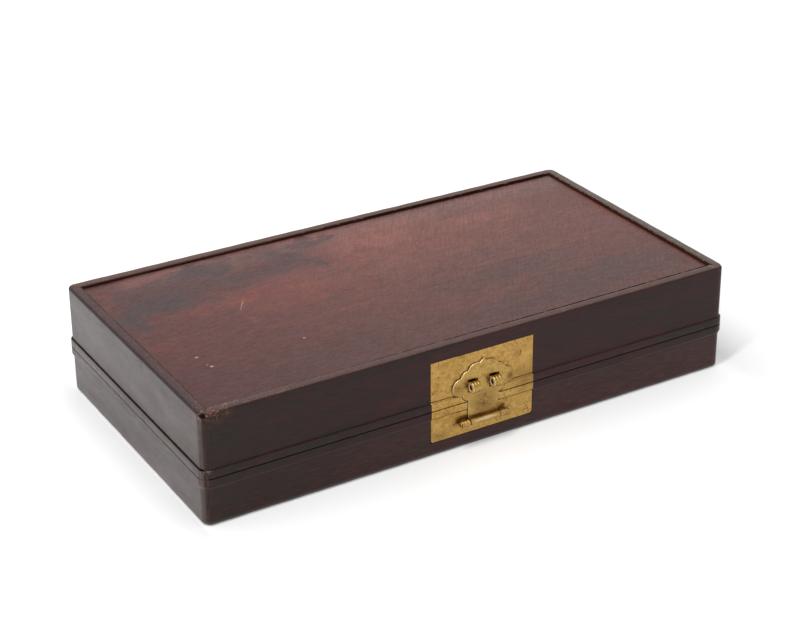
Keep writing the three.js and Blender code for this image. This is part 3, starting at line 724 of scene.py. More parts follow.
@dataclass(frozen=True)
class BrassFinish:
    """Old sheet brass with brown patina, dark pits, painted highlights and painted shade.

    Its patches lie on X and Z. Painted shade in bores runs along X and is given by Y, Z and radius,
    painted shade lines by height and half-width. Nails are given by the X of the hinge's middle, how far
    they lie beside it, the height of the hinge's pin and how far they lie above or below it.
    """

    name: str
    bright: Triple = (0.560, 0.350, 0.112)
    ground: Triple = (0.425, 0.256, 0.073)
    brown: Triple = (0.235, 0.128, 0.032)
    stain: Triple = (0.120, 0.062, 0.018)
    pit: Triple = (0.040, 0.024, 0.010)
    # Dark painted shade for openings, bores and gaps.
    shade_black: Triple = (0.004, 0.003, 0.002)
    # Colour of painted highlights.
    highlight_colour: Triple = (0.860, 0.700, 0.420)
    rough: float = 0.40
    relief: float = 0.05
    marks: tuple[Blot, ...] = ()
    stains: tuple[Blot, ...] = ()
    shade_holes: tuple[Blot, ...] = ()
    painted_highlights: tuple[Blot, ...] = ()
    lines: tuple[Span, ...] = ()
    shaded_bores: tuple[Triple, ...] = ()
    nails: tuple[float, ...] = ()
    arris: float = 0.0

    @staticmethod
    def spot(shader: Shader, patch: Blot, soft: float) -> Value:
        """A soft spot on the front, at X and Z, whatever its Y."""
        return shader.blot((patch.x, 0.0, patch.y), (patch.long, FAR, patch.wide), soft) * patch.strength

    def rings(self, shader: Shader) -> Value:
        """Dark rings round the nails' heads, on the outside of the leaves."""
        x, y, z = shader.axes
        hinge, side, height, rise = self.nails
        beside, above = abs(abs(x) - hinge) - side, abs(z - height) - rise
        return (beside * beside + above * above).math("SQRT").around(1.6, 0.1, 0.5) * y.step(99, 99.6)

    def material(self) -> Material:
        """The finish: mottled metal, then stains, pits, painted shade in openings, painted highlights and
        painted shade lines over it.

        Returns:
            The material.
        """
        shader = Shader(bpy.data.materials.new(self.name))
        x, y, z = shader.axes
        mottle = shader.noise((2.4, 2.4, 2.4), 4.0, 0.5)
        broad = shader.noise((15, 15, 12), 3.0, 0.3, (4, 1, 2))
        fine = shader.noise((0.7, 0.7, 0.7))
        scuffs = shader.noise((5, 3, 0.35), 2.0, 0.6)
        share = mottle * 0.38 + broad * 0.26 + fine * 0.28 + scuffs * 0.12 - 0.02
        metal = shader.ramp(share, (0.36, self.brown), (0.50, self.ground), (0.62, self.bright))
        freckles = shader.noise((1.3, 1.3, 0.9), 3.0, 0.6, (7, 0, 3)).step(0.56, 0.70)
        freckles = freckles * broad.step(0.40, 0.60)
        metal = shader.mix(freckles * 0.55, metal, self.stain)
        for patch in self.stains:
            metal = shader.mix(self.spot(shader, patch, 0.1) * (mottle * 4.4 - 1.3), metal, self.stain)
        pits = (fine * 0.6 + mottle * 0.4).step(0.64, 0.70) * 0.6
        for patch in self.marks:
            pits = pits.larger(self.spot(shader, patch, 0.3) * (fine * 0.8 + 0.5))
        colour = shader.mix(pits.smaller(1.0) * 0.85, metal, self.pit)
        # Dark painted shade in openings and gaps.
        for patch in self.shade_holes:
            colour = shader.mix(self.spot(shader, patch, 0.75), colour, self.shade_black)
        metallic = 1.0
        # Painted highlights.
        for patch in self.painted_highlights:
            highlight_mask = self.spot(shader, patch, 0.6)
            colour = shader.mix(highlight_mask, colour, self.highlight_colour)
            metallic = metallic - highlight_mask * 0.5
        # A painted highlight on the bevel of the hasp's left edges.
        if self.arris:
            edge = y.step(self.arris + 0.02, self.arris + 0.10) * y.fall(self.arris + 0.45, self.arris + 0.60)
            colour = shader.mix(edge * x.step(-2, 8, 0.85, 0.0), colour, self.highlight_colour)
        if self.nails:
            colour = shader.mix(self.rings(shader) * (mottle + 0.1), colour, self.pit)
        # Dark painted shade inside the bores.
        for tube_y, tube_z, radius in self.shaded_bores:
            inside = shader.blot((0.0, tube_y, tube_z), (FAR, radius, radius), 0.9)
            colour = shader.mix(inside, colour, self.shade_black)
        # Painted shade lines along the bands' edges and the parting.
        for height, half in self.lines:
            line = z.around(height, half * 0.4, half) * broad.step(0.3, 0.5, 0.55, 0.95)
            colour = shader.mix(line, colour, self.pit)
        rough = mottle * 0.12 + pits * 0.2 + (self.rough - 0.06)
        bump = mottle * 0.6 + scuffs * 0.15 - pits * 0.5
        return shader.finish(colour, rough, bump, self.relief, Metallic=metallic)


def fill_mesh(name: str, shape: Shape, angle: float = 35.0) -> bpy.types.Object:
    """Makes an object from points and faces, merged, closed and turned outwards.

    Args:
        name: the piece's name.
        shape: N by 3 array of points in millimetres, and the corner numbers of each face.
        angle: edges sharper than this many degrees stay crisp.

    Returns:
        The object, in metres, at the origin.
    """
    points, faces = shape
    mesh = bpy.data.meshes.new(name)
    mesh.from_pydata(np.asarray(points, float) * METRE, [], faces)
    work = bmesh.new()
    work.from_mesh(mesh)
    bmesh.ops.remove_doubles(work, verts=work.verts, dist=2e-6)
    bmesh.ops.dissolve_degenerate(work, edges=work.edges, dist=1e-6)
    bmesh.ops.recalc_face_normals(work, faces=work.faces)
    work.to_mesh(mesh)
    work.free()
    mesh.shade_smooth()
    mesh.set_sharp_from_angle(angle=np.radians(angle))
    return placed(name, mesh)


def placed(name: str, data: bpy.types.ID) -> bpy.types.Object:
    """A new object of a mesh, lamp or camera, linked to the scene."""
    made = bpy.data.objects.new(name, data)
    bpy.context.scene.collection.objects.link(made)
    return made


def spread(middle: float, width: float) -> Span:
    """The span of a width round its middle."""
    return middle - width / 2, middle + width / 2


def grid_faces(rows: int, columns: int, wrap_rows: bool = False, wrap_columns: bool = False) -> list:
    """Corner numbers of the four-sided faces of a grid that is stored row by row.

    Args:
        rows: how many rows of points.
        columns: how many points in a row.
        wrap_rows: whether the last row joins the first.
        wrap_columns: whether each row's last point joins its first.

    Returns:
        Four numbers for each face.
    """
    i = np.arange(rows if wrap_rows else rows - 1)[:, None]
    j = np.arange(columns if wrap_columns else columns - 1)[None, :]
    down, right = (i + 1) % rows, (j + 1) % columns
    corners = [i * columns + j, down * columns + j, down * columns + right, i * columns + right]
    return np.stack([np.broadcast_to(c, (len(i), j.shape[1])) for c in corners], -1).reshape(-1, 4).tolist()


def rounded(corners: Sequence[Triple], steps: int = 5) -> np.ndarray:
    """A closed outline whose corners are rounded.

    Each corner (a, b, reach) becomes the curve (1-t)^2 A + 2t(1-t) P + t^2 C, where P is the
    corner and A and C lie on its two sides at the distance reach from it.

    Args:
        corners: the outline's corners with the reach of each rounding, 0 for a sharp one.
        steps: faces in each rounding.

    Returns:
        M by 2 array of points.
    """
    data = np.array(corners, float)
    place, reach = data[:, :2], data[:, 2:]
    ends = [np.roll(place, shift, 0) - place for shift in (1, -1)]
    start, end = (place + d / np.linalg.norm(d, axis=1, keepdims=True) * reach for d in ends)
    t = np.linspace(0.0, 1.0, steps + 1)[:, None, None]
    curve = (1 - t) ** 2 * start + 2 * t * (1 - t) * place + t**2 * end
    points = curve.transpose(1, 0, 2).reshape(-1, 2)
    apart = np.linalg.norm(points - np.roll(points, 1, 0), axis=1) > 1e-6
    return points[apart]


def lathe(
    section: np.ndarray, axis: Span, closed: bool = False, steps: int = 48, turned: bool = False
) -> Shape:
    """Turns a section of (place along the axis, radius) about an axis.

    A point at place s and radius r goes to s along the axis and to r cos(a), r sin(a) across it
    for every angle a. The axis runs along X, or along Y where turned is true.

    Args:
        section: N by 2 array of places and radii.
        axis: the two other coordinates of the axis.
        closed: whether the section is a closed loop, as a ring's is.
        steps: faces round the axis.
        turned: whether the axis runs along Y.

    Returns:
        Points and faces.
    """
    angle = np.linspace(0.0, 2 * np.pi, steps, endpoint=False)
    along = np.repeat(section[:, :1], steps, 1)
    across = axis[0] + section[:, 1:] * np.cos(angle)
    up = axis[1] + section[:, 1:] * np.sin(angle)
    order = (across, along, up) if turned else (along, across, up)
    return np.stack(order, -1).reshape(-1, 3), grid_faces(len(section), steps, closed, True)


def joined(parts: Sequence[Shape]) -> Shape:
    """Several sets of points and faces as one.

    Args:
        parts: points and faces of each.

    Returns:
        All points, and all faces with their numbers moved on.
    """
    faces, count = [], 0
    for own_points, own_faces in parts:
        faces.extend([[k + count for k in face] for face in own_faces])
        count += len(own_points)
    return np.concatenate([points for points, _ in parts]), faces


def soft_block(x: Span, y: Span, z: Span, ease: float) -> Shape:
    """A block with eased edges.

    Every point of a cube's surface grid is pulled in by ease and pushed out again along the
    direction to its nearest inner point, which rounds the edges.

    Args:
        x: extent on X.
        y: extent on Y.
        z: extent on Z.
        ease: radius of the edges.

    Returns:
        Points and faces.
    """
    count, rounding = 8, 3
    low, high = np.array([x, y, z]).T
    index = np.arange(count)
    from_low = np.minimum(index, rounding) / rounding
    from_high = from_low[::-1]
    grids = np.meshgrid(index, index, indexing="ij")
    parts = []
    for axis in range(3):
        others = [k for k in range(3) if k != axis]
        for level in (low[axis], high[axis]):
            side = np.full((count, count, 3), level)
            for k, steps in zip(others, grids):
                near_low, near_high = low[k] + ease * from_low[steps], high[k] - ease * from_high[steps]
                side[..., k] = np.where(steps < count // 2, near_low, near_high)
            parts.append((side.reshape(-1, 3), grid_faces(count, count)))
    points, faces = joined(parts)
    core = np.clip(points, low + ease, high - ease)
    away = points - core
    distance = np.linalg.norm(away, axis=1, keepdims=True)
    return core + away / np.maximum(distance, 1e-9) * ease, faces


def paint(piece: bpy.types.Object, material: Material) -> None:
    """Gives an object one material."""
    piece.data.materials.clear()
    piece.data.materials.append(material)


def dress(piece: bpy.types.Object, body: str, slot: str, material: Material, *nodes: str) -> None:
    """Gives a piece its material, its body and the nodes that it stands for.

    Args:
        piece: the new piece.
        body: the body that it moves with.
        slot: the name of the piece's material slot; not used.
        material: its finish.
        nodes: the nodes that it replaces.
    """
    paint(piece, material)
    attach(piece, body)
    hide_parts(*nodes)
    LOG.info("%s: %d faces on %s", piece.name, len(piece.data.polygons), body)


def dress_node(node: str, material: Material) -> None:
    """Gives a node that stays a better material."""
    paint(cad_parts[node], material)
    LOG.info("%s keeps its shape", node)


def stud(
    name: str, section: np.ndarray, place: Span, steps: int, body: str, brass: Material, node: str
) -> None:
    """A nail or pin that runs along Y.

    Args:
        name: the piece's name.
        section: N by 2 array of places on Y and radii.
        place: its X and Z.
        steps: faces round it.
        body: the body that it moves with.
        brass: its finish.
        node: the node that it replaces.
    """
    shape = lathe(section, place, steps=steps, turned=True)
    dress(fill_mesh(name, shape), body, "brass", brass, node)


@dataclass
class Pocket:
    """Room cut into the outside of a board."""

    low: float
    high: float
    bottom: float
    top: float
    depth: float


@dataclass
class Side:
    """One wall: its length, how far out it stands, its turn about Z, its pockets and chips.

    A chip is a knock in the top arris, given by its place along the wall, width and depth.
    """

    long: float
    deep: float
    quarter_turns: int
    pockets: Sequence[Pocket] = ()
    chips: Sequence[Triple] = ()


@dataclass
class Case:
    """Sizes that lid and base share."""

    base_height: float = 31.6
    parting_gap: float = 0.4
    seam_gap: float = 0.06
    corner_radius: float = 5.5
    proud: float = 1.2
    tongue: float = 2.0
    tongue_thickness: float = 2.6
    gap: float = 0.3
    mitre_gap: float = 0.03
    station: float = 2.0
    corner_steps: int = 9
    wear_depth: float = 0.12
    chip_reach: float = 3.0
    square_run: float = 1.5

    @property
    def lid_bottom(self) -> float:
        """Height of the lid's lower edge."""
        return self.base_height + self.parting_gap

    def groove(self, low: float, high: float) -> list[Triple]:
        """Sharp corners of the panel's groove between two heights, from the top down."""
        bottom = -BOARD + self.tongue + self.gap
        return [(-BOARD, high, 0.0), (bottom, high, 0.0), (bottom, low, 0.0), (-BOARD, low, 0.0)]

    def stations(self, half: float, pockets: Sequence[Pocket]) -> np.ndarray:
        """Places along the straight part of a wall, doubled at the sides of each pocket.

        Args:
            half: half of the straight part.
            pockets: the pockets of this wall.

        Returns:
            Places as shares from -1 to 1.
        """
        even = np.linspace(-half, half, int(2 * half / self.station) + 1)
        edges = [e + shift for p in pockets for e in (p.low, p.high) for shift in (-TINY, TINY)]
        return np.unique(np.concatenate([even, np.array(edges, float)])) / half

    def wall(self, name: str, profile: np.ndarray, side: Side, phase: float) -> bpy.types.Object:
        """One board: a profile carried along a wall and round half of each corner.

        A profile point at the distance out from the wall has the corner radius r + out. Over the
        corner it turns by 45 degrees about the corner's centre; where r + out is negative its
        corner is square, and it starts at the mitre. Arrises are worn inwards by a sum of three
        sines along the path, and more where a chip is, as a bell curve.

        Args:
            name: the piece's name.
            profile: M by 2 array of (distance out, height).
            side: the wall, made as if it faced -Y and then turned.
            phase: shift of the wear's sines.

        Returns:
            The board.
        """
        centre = side.long / 2 - self.corner_radius
        turn = np.radians(np.linspace(45.0, 0.0, self.corner_steps, endpoint=False))
        steps = np.linspace(0.0, self.square_run, self.corner_steps, endpoint=False)
        run = self.stations(centre, side.pockets)
        angle = np.concatenate([-turn, run * 0.0, turn[::-1]])[:, None]
        share = np.concatenate([turn * 0.0 - 1.0, run, turn * 0.0 + 1.0])[:, None]
        inset = np.concatenate([steps, run * 0.0 + self.square_run, steps[::-1]])[:, None]
        path = share * centre + angle * self.corner_radius
        ripple = 0.5 + 0.5 * np.sin(path / 7.3 + phase) * np.sin(path / 23.0 + 2.1 * phase)
        amount = np.clip(ripple + 0.35 * np.sin(path / 2.9 + 3.3 * phase), 0.0, None) * self.wear_depth
        near_top = profile[:, 1] > HEIGHT - self.chip_reach
        for place, width, depth in side.chips:
            amount = amount + near_top * depth * np.exp(-(((path - place) / width) ** 2))
        inwards = self.arris_normals(profile)
        out = profile[:, 0] + amount * inwards[:, 0]
        z = profile[:, 1] + amount * inwards[:, 1]
        radius = self.corner_radius + out
        is_round = np.broadcast_to(self.corner_radius + profile[:, 0] > 0.0, out.shape)
        x = np.where(is_round, share * centre + radius * np.sin(angle), share * (side.long / 2 + out - inset))
        y = np.where(is_round, side.deep - self.corner_radius + radius * np.cos(angle), side.deep + out)
        for pocket in side.pockets:
            inside = (x > pocket.low) & (x < pocket.high) & (z > pocket.bottom) & (z < pocket.top)
            y = np.where(inside, np.minimum(y, side.deep - pocket.depth), y)
        x = x - np.sign(x) * self.mitre_gap / 2
        x, y = [(x, -y), (y, x), (-x, y), (-y, -x)][side.quarter_turns]
        rows, columns = x.shape
        caps = [list(range(columns))[::-1], [(rows - 1) * columns + k for k in range(columns)]]
        faces = grid_faces(rows, columns, wrap_columns=True) + caps
        return fill_mesh(name, (np.stack([x, y, z], -1).reshape(-1, 3), faces))

    def arris_normals(self, profile: np.ndarray) -> np.ndarray:
        """Directions into the wood at the outside roundings, and zero elsewhere.

        A point's direction is the sum of the left normals of its two sides, because the section
        runs anticlockwise, times how far the outline turns left there.

        Args:
            profile: M by 2 array of (distance out, height).

        Returns:
            M by 2 array of directions, no longer than 1.
        """
        sides = [profile - np.roll(profile, 1, 0), np.roll(profile, -1, 0) - profile]
        sides = [d / np.linalg.norm(d, axis=1, keepdims=True) for d in sides]
        normals = [np.stack([-d[:, 1], d[:, 0]], -1) for d in sides]
        left = normals[0] + normals[1]
        left = left / np.maximum(np.linalg.norm(left, axis=1, keepdims=True), 1e-6)
        cross = sides[0][:, 0] * sides[1][:, 1] - sides[0][:, 1] * sides[1][:, 0]
        turn = np.arctan2(cross, (sides[0] * sides[1]).sum(1))
        shown = (profile[:, 0] > -BOARD / 2) | (profile[:, 1] > HEIGHT - 2.0)
        return left * (np.clip(turn / 0.2, 0.0, 1.0) * shown)[:, None]

    @staticmethod
    def split(profile: np.ndarray, heights: Sequence[float]) -> np.ndarray:
        """Adds two close points to the outside of a section at each height, for a pocket's edge.

        Args:
            profile: M by 2 array of (distance out, height).
            heights: where the pockets end.

        Returns:
            The section with the points.
        """
        for height in heights:
            nexts = np.roll(profile, -1, 0)
            flat = np.abs(profile[:, 0]) + np.abs(nexts[:, 0]) < 1e-6
            spans = (profile[:, 1] - height) * (nexts[:, 1] - height) < 0
            place = int(np.flatnonzero(flat & spans)[0])
            sign = np.sign(nexts[place, 1] - profile[place, 1])
            extra = [[0.0, height - sign * TINY], [0.0, height + sign * TINY]]
            profile = np.insert(profile, place + 1, extra, 0)
        return profile

    def boards(
        self, part: str, profile: np.ndarray, front: Pocket, back: Sequence[Pocket],
        chips: dict[str, Sequence[Triple]], finishes: Finishes,
    ) -> None:
        """Builds and dresses the four boards of a ring.

        Args:
            part: "lid" or "base", which is also the body that they move with.
            profile: the section of the boards.
            front: pocket of the front board.
            back: pockets of the back board, on X as seen from above.
            chips: knocks in the top arris of each side.
            finishes: material for each side.
        """
        mirrored = [Pocket(-p.high, -p.low, p.bottom, p.top, p.depth) for p in back]
        sides = {
            "front": Side(LENGTH, WIDTH / 2, 0, (front,)),
            "right": Side(WIDTH, LENGTH / 2, 1),
            "back": Side(LENGTH, WIDTH / 2, 2, mirrored),
            "left": Side(WIDTH, LENGTH / 2, 3),
        }
        for index, (name, side) in enumerate(sides.items()):
            side.chips = chips.get(name, ())
            wall = self.wall(f"{part}_{name}_wall", profile, side, 1.7 * index + len(part))
            dress(wall, part, "hardwood", finishes[name], f"{part}_{name}_board")


@dataclass
class Lock:
    """Sizes of the brass lock that boards, plates and hasp share."""

    front: float = WIDTH / 2
    plate_width: float = 75.0
    plate_top: float = 64.5
    plate_bottom: float = 9.2
    sheet: float = 1.2
    seat: float = 0.1
    strip_proud: float = 1.2
    pivot_z: float = 17.8
    pivot_out: float = 2.7
    knuckle_radius: float = 2.1
    tongue_half: float = 10.9
    reach: float = 41.9
    half_width: float = 22.4
    leaf: float = 1.15
    leaf_gap: float = 0.15
    slot_play: float = 0.5
    staple_spacing: float = 15.6
    staple_width: float = 6.0
    staple_radius: float = 3.8
    staple_hole: float = 1.7
    staple_z: float = 42.1
    staple_out: float = 3.3
    eye_width: float = 6.0
    eye_gap: float = 0.3
    eye_radius: float = 2.3
    pin_radius: float = 0.9
    pin_head_radius: float = 1.7
    pin_head: float = 0.9
    arc_steps: int = 10

    @property
    def eye_place(self) -> float:
        """Distance of each eye from the middle."""
        return self.tongue_half + self.eye_gap + self.eye_width / 2

    @property
    def pivot(self) -> Span:
        """Y and Z of the hasp's pin."""
        return -self.front - self.pivot_out, self.pivot_z

    def pocket(self, bottom: float, top: float) -> Pocket:
        """Room for a plate in the front boards, between two heights."""
        low, high = spread(0.0, self.plate_width + 2 * self.seat)
        return Pocket(low, high, bottom, top, self.sheet + self.seat)

    def arc(self, a: np.ndarray, b: np.ndarray, c: np.ndarray) -> np.ndarray:
        """Points on the circle through a, b and c, after a and up to c.

        The centre is where the lines that halve ab and bc meet, and the angle goes from a's to
        c's by way of b's in even steps.

        Args:
            a: first point.
            b: a point between.
            c: last point.

        Returns:
            Array of arc_steps points.
        """
        rows = np.array([b - a, c - b])
        centre = np.linalg.solve(rows, (rows * np.array([(a + b) / 2, (b + c) / 2])).sum(1))
        radius = np.linalg.norm(a - centre)
        start, middle, end = (np.arctan2(*(p - centre)[::-1]) for p in (a, b, c))
        middle, end = (middle - start) % (2 * np.pi), (end - start) % (2 * np.pi)
        sweep = end if middle < end else end - 2 * np.pi
        angles = start + sweep * np.arange(1, self.arc_steps + 1) / self.arc_steps
        return centre + radius * np.stack([np.cos(angles), np.sin(angles)], -1)

    def half_outline(self) -> np.ndarray:
        """Right half of the scalloped edge, from the tip down to the pivot.

        Each arc runs through one point to another, both given as shares of half the width and of
        the reach.

        Returns:
            N by 2 array of points.
        """
        arcs = [
            [(0.055, 0.952), (0.135, 0.928)],
            [(0.34, 0.92), (0.5, 0.838)],
            [(0.645, 0.808), (0.741, 0.735)],
            [(1.0, 0.592), (0.888, 0.474)],
            [(0.775, 0.452), (0.68, 0.446)],
            [(0.6, 0.37), (self.tongue_half / self.half_width, 0.345)],
        ]
        scale, origin = np.array([self.half_width, self.reach]), np.array([0.0, self.pivot_z])
        points = [np.array([[0.0, self.reach]]) + origin]
        for through, end in np.array(arcs) * scale + origin:
            points.append(self.arc(points[-1][-1], through, end))
        points.append(np.array([[self.tongue_half, self.pivot_z]]))
        return np.concatenate(points)

    def half_width_at(self, z: np.ndarray) -> np.ndarray:
        """Half-width of the hasp at a height, taken from the widest crossing of its edge."""
        edge = self.half_outline()
        order = np.argsort(edge[:, 1])
        return np.interp(z, edge[order, 1], edge[order, 0])


@dataclass
class Lid(Case):
    """The lid's four boards."""

    band: float = 5.3
    band_ease: float = 0.6
    top_arris: float = 1.6
    rim_arris: float = 0.5
    top_recess: float = 1.6
    top_panel: float = 5.0

    def profile(self) -> np.ndarray:
        """Section of the lid's boards: a proud band below and a round arris above."""
        bottom, band_top = self.base_height + self.seam_gap, self.lid_bottom + self.band
        middle = HEIGHT - self.top_recess - self.top_panel / 2
        half = self.tongue_thickness / 2 + self.gap
        return rounded([
            (-BOARD, bottom, 0.3),
            (self.proud, bottom, 0.3),
            (self.proud, band_top, self.band_ease),
            (0.0, band_top, 0.5),
            (0.0, HEIGHT, self.top_arris),
            (-BOARD, HEIGHT, self.rim_arris),
            *self.groove(middle - half, middle + half),
        ])

    def build(self, lock: Lock, hinges: "Hinges", finishes: Finishes) -> None:
        """Makes the boards with their room for the lock plate and the hinges.

        Args:
            lock: sizes of the lock.
            hinges: sizes of the hinges.
            finishes: material for each side.
        """
        front, back = lock.pocket(0.0, lock.plate_top + lock.seat), hinges.pockets("lid")
        profile = self.split(self.profile(), [front.top, back[0].top])
        chips = {
            "front": [(-187.5, 1.6, 0.45), (-176.0, 0.8, 0.2), (186.0, 1.2, 0.3), (64.0, 0.7, 0.15)],
            "left": [(97.0, 1.4, 0.4), (20.0, 0.8, 0.15), (-60.0, 0.9, 0.2)],
            "right": [(-97.0, 1.2, 0.3)],
        }
        self.boards("lid", profile, front, back, chips, finishes)


@dataclass
class Base(Case):
    """The base's four boards."""

    band: float = 4.8
    band_slope: float = 2.2
    bottom_arris: float = 2.2
    bottom_panel: float = 5.5

    def profile(self) -> np.ndarray:
        """Section of the base's boards: a round foot and a proud band that slopes back."""
        band_bottom = self.base_height - self.band
        groove_low = (self.bottom_panel - self.tongue_thickness) / 2 - self.gap
        return rounded([
            (-BOARD, 0.0, 0.0),
            (0.0, 0.0, self.bottom_arris),
            (0.0, band_bottom - self.band_slope, 0.3),
            (self.proud, band_bottom, 0.35),
            (self.proud, self.base_height, 0.3),
            (-BOARD, self.base_height, 0.3),
            *self.groove(groove_low, self.bottom_panel - groove_low),
        ])

    def build(self, lock: Lock, hinges: "Hinges", finishes: Finishes) -> None:
        """Makes the boards with their room for the lock plate and the hinges.

        Args:
            lock: sizes of the lock.
            hinges: sizes of the hinges.
            finishes: material for each side.
        """
        front, back = lock.pocket(lock.plate_bottom - lock.seat, ABOVE), hinges.pockets("base")
        profile = self.split(self.profile(), [front.bottom, back[0].bottom])
        self.boards("base", profile, front, back, {}, finishes)


@dataclass
class Hinges:
    """Two butt hinges at the back, each with two leaves, three knuckles, a pin and nails."""

    back: float = WIDTH / 2
    place: float = 115.0
    width: float = 42.0
    leaf: float = 24.0
    sheet: float = 1.2
    seat: float = 0.1
    radius: float = 2.6
    axis_y: float = 101.6
    axis_z: float = PARTING
    pin_radius: float = 1.1
    nail_spacing: float = 26.0
    nail_radius: float = 1.5
    nail_dome: float = 0.35
    gap: float = 0.3
    ease: float = 0.3
    seam_ease: float = 0.12
    knuckle_ease: float = 0.25

    def pockets(self, part: str) -> list[Pocket]:
        """Room for the leaves in the back board of a part, open towards the parting."""
        low, high = BELOW, self.axis_z + self.leaf + self.seat
        if part == "base":
            low, high = self.axis_z - self.leaf - self.seat, ABOVE
        sides = [spread(centre, self.width + 2 * self.gap) for centre in (-self.place, self.place)]
        return [Pocket(*side, low, high, self.sheet + self.seat) for side in sides]

    def knuckle(self, span: Span) -> Shape:
        """A rolled knuckle with rounded ends."""
        (a, b), r, hole, ease = span, self.radius, self.pin_radius, self.knuckle_ease
        corners = [(a, hole, 0.0), (a, r, ease), (b, r, ease), (b, hole, 0.0)]
        return lathe(rounded(corners, 3), (self.axis_y, self.axis_z), True)

    def leaf_shape(self, x: float, part: str, up: int) -> Shape:
        """A leaf with its knuckles: one in the middle on the lid, two at the ends on the base.

        Args:
            x: middle of the hinge.
            part: the part that the leaf is nailed to.
            up: 1 where the leaf goes up from the pin, -1 where it goes down.

        Returns:
            Points and faces.
        """
        (left, right), (inner_left, inner_right) = spread(x, self.width), spread(x, self.width / 3)
        notch, depth = self.axis_z + up * (self.radius + self.gap), (self.back - self.sheet, self.back)
        parts = [soft_block((left, right), depth, sorted((notch, self.axis_z + up * self.leaf)), self.ease)]
        spans = [(inner_left, inner_right)]
        if part == "base":
            spans = [(left, inner_left - self.gap), (inner_right + self.gap, right)]
        for span in spans:
            ends = sorted((self.axis_z + up * 0.2, notch + up * 0.8))
            parts += [soft_block(span, depth, ends, self.seam_ease), self.knuckle(span)]
        return joined(parts)

    def nail_section(self) -> np.ndarray:
        """Section of a nail with a low domed head."""
        angle = np.linspace(0.0, np.pi / 2, 8)
        dome = np.stack([self.nail_dome * np.cos(angle), self.nail_radius * np.sin(angle)], -1)
        shank = [[-0.2, self.nail_radius * 0.9], [-0.2, 0.8], [-5.0, 0.6], [-5.0, 0.0]]
        return np.concatenate([dome, shank]) + [self.back, 0.0]

    def pin_section(self, x: float) -> np.ndarray:
        """Section of the rod that the knuckles turn on, with eased ends."""
        (a, b), r, ease = spread(x, self.width), self.pin_radius - TINY, self.knuckle_ease
        return np.array([[a, 0.0], [a, r - ease], [a + ease, r], [b - ease, r], [b, r - ease], [b, 0.0]])

    def build(self, brass: Material) -> None:
        """Makes leaves, pins and nails, and dresses them."""
        for side, x in (("left", -self.place), ("right", self.place)):
            for part, up in (("base", -1), ("lid", 1)):
                name = f"hinge_{side}_{part}"
                leaf = fill_mesh(f"{name}_plate", self.leaf_shape(x, part, up))
                dress(leaf, part, "brass", brass, f"{name}_leaf")
                for number, nail_x in enumerate(spread(x, self.nail_spacing), 1):
                    place = (nail_x, self.axis_z + up * self.leaf / 2)
                    names = f"{name}_nail_head_{number}", f"{name}_nail_{number}"
                    stud(names[0], self.nail_section(), place, 24, part, brass, names[1])
            rod = lathe(self.pin_section(x), (self.axis_y, self.axis_z), steps=24)
            dress(fill_mesh(f"hinge_{side}_rod", rod), "base", "brass", brass, f"hinge_{side}_pin")


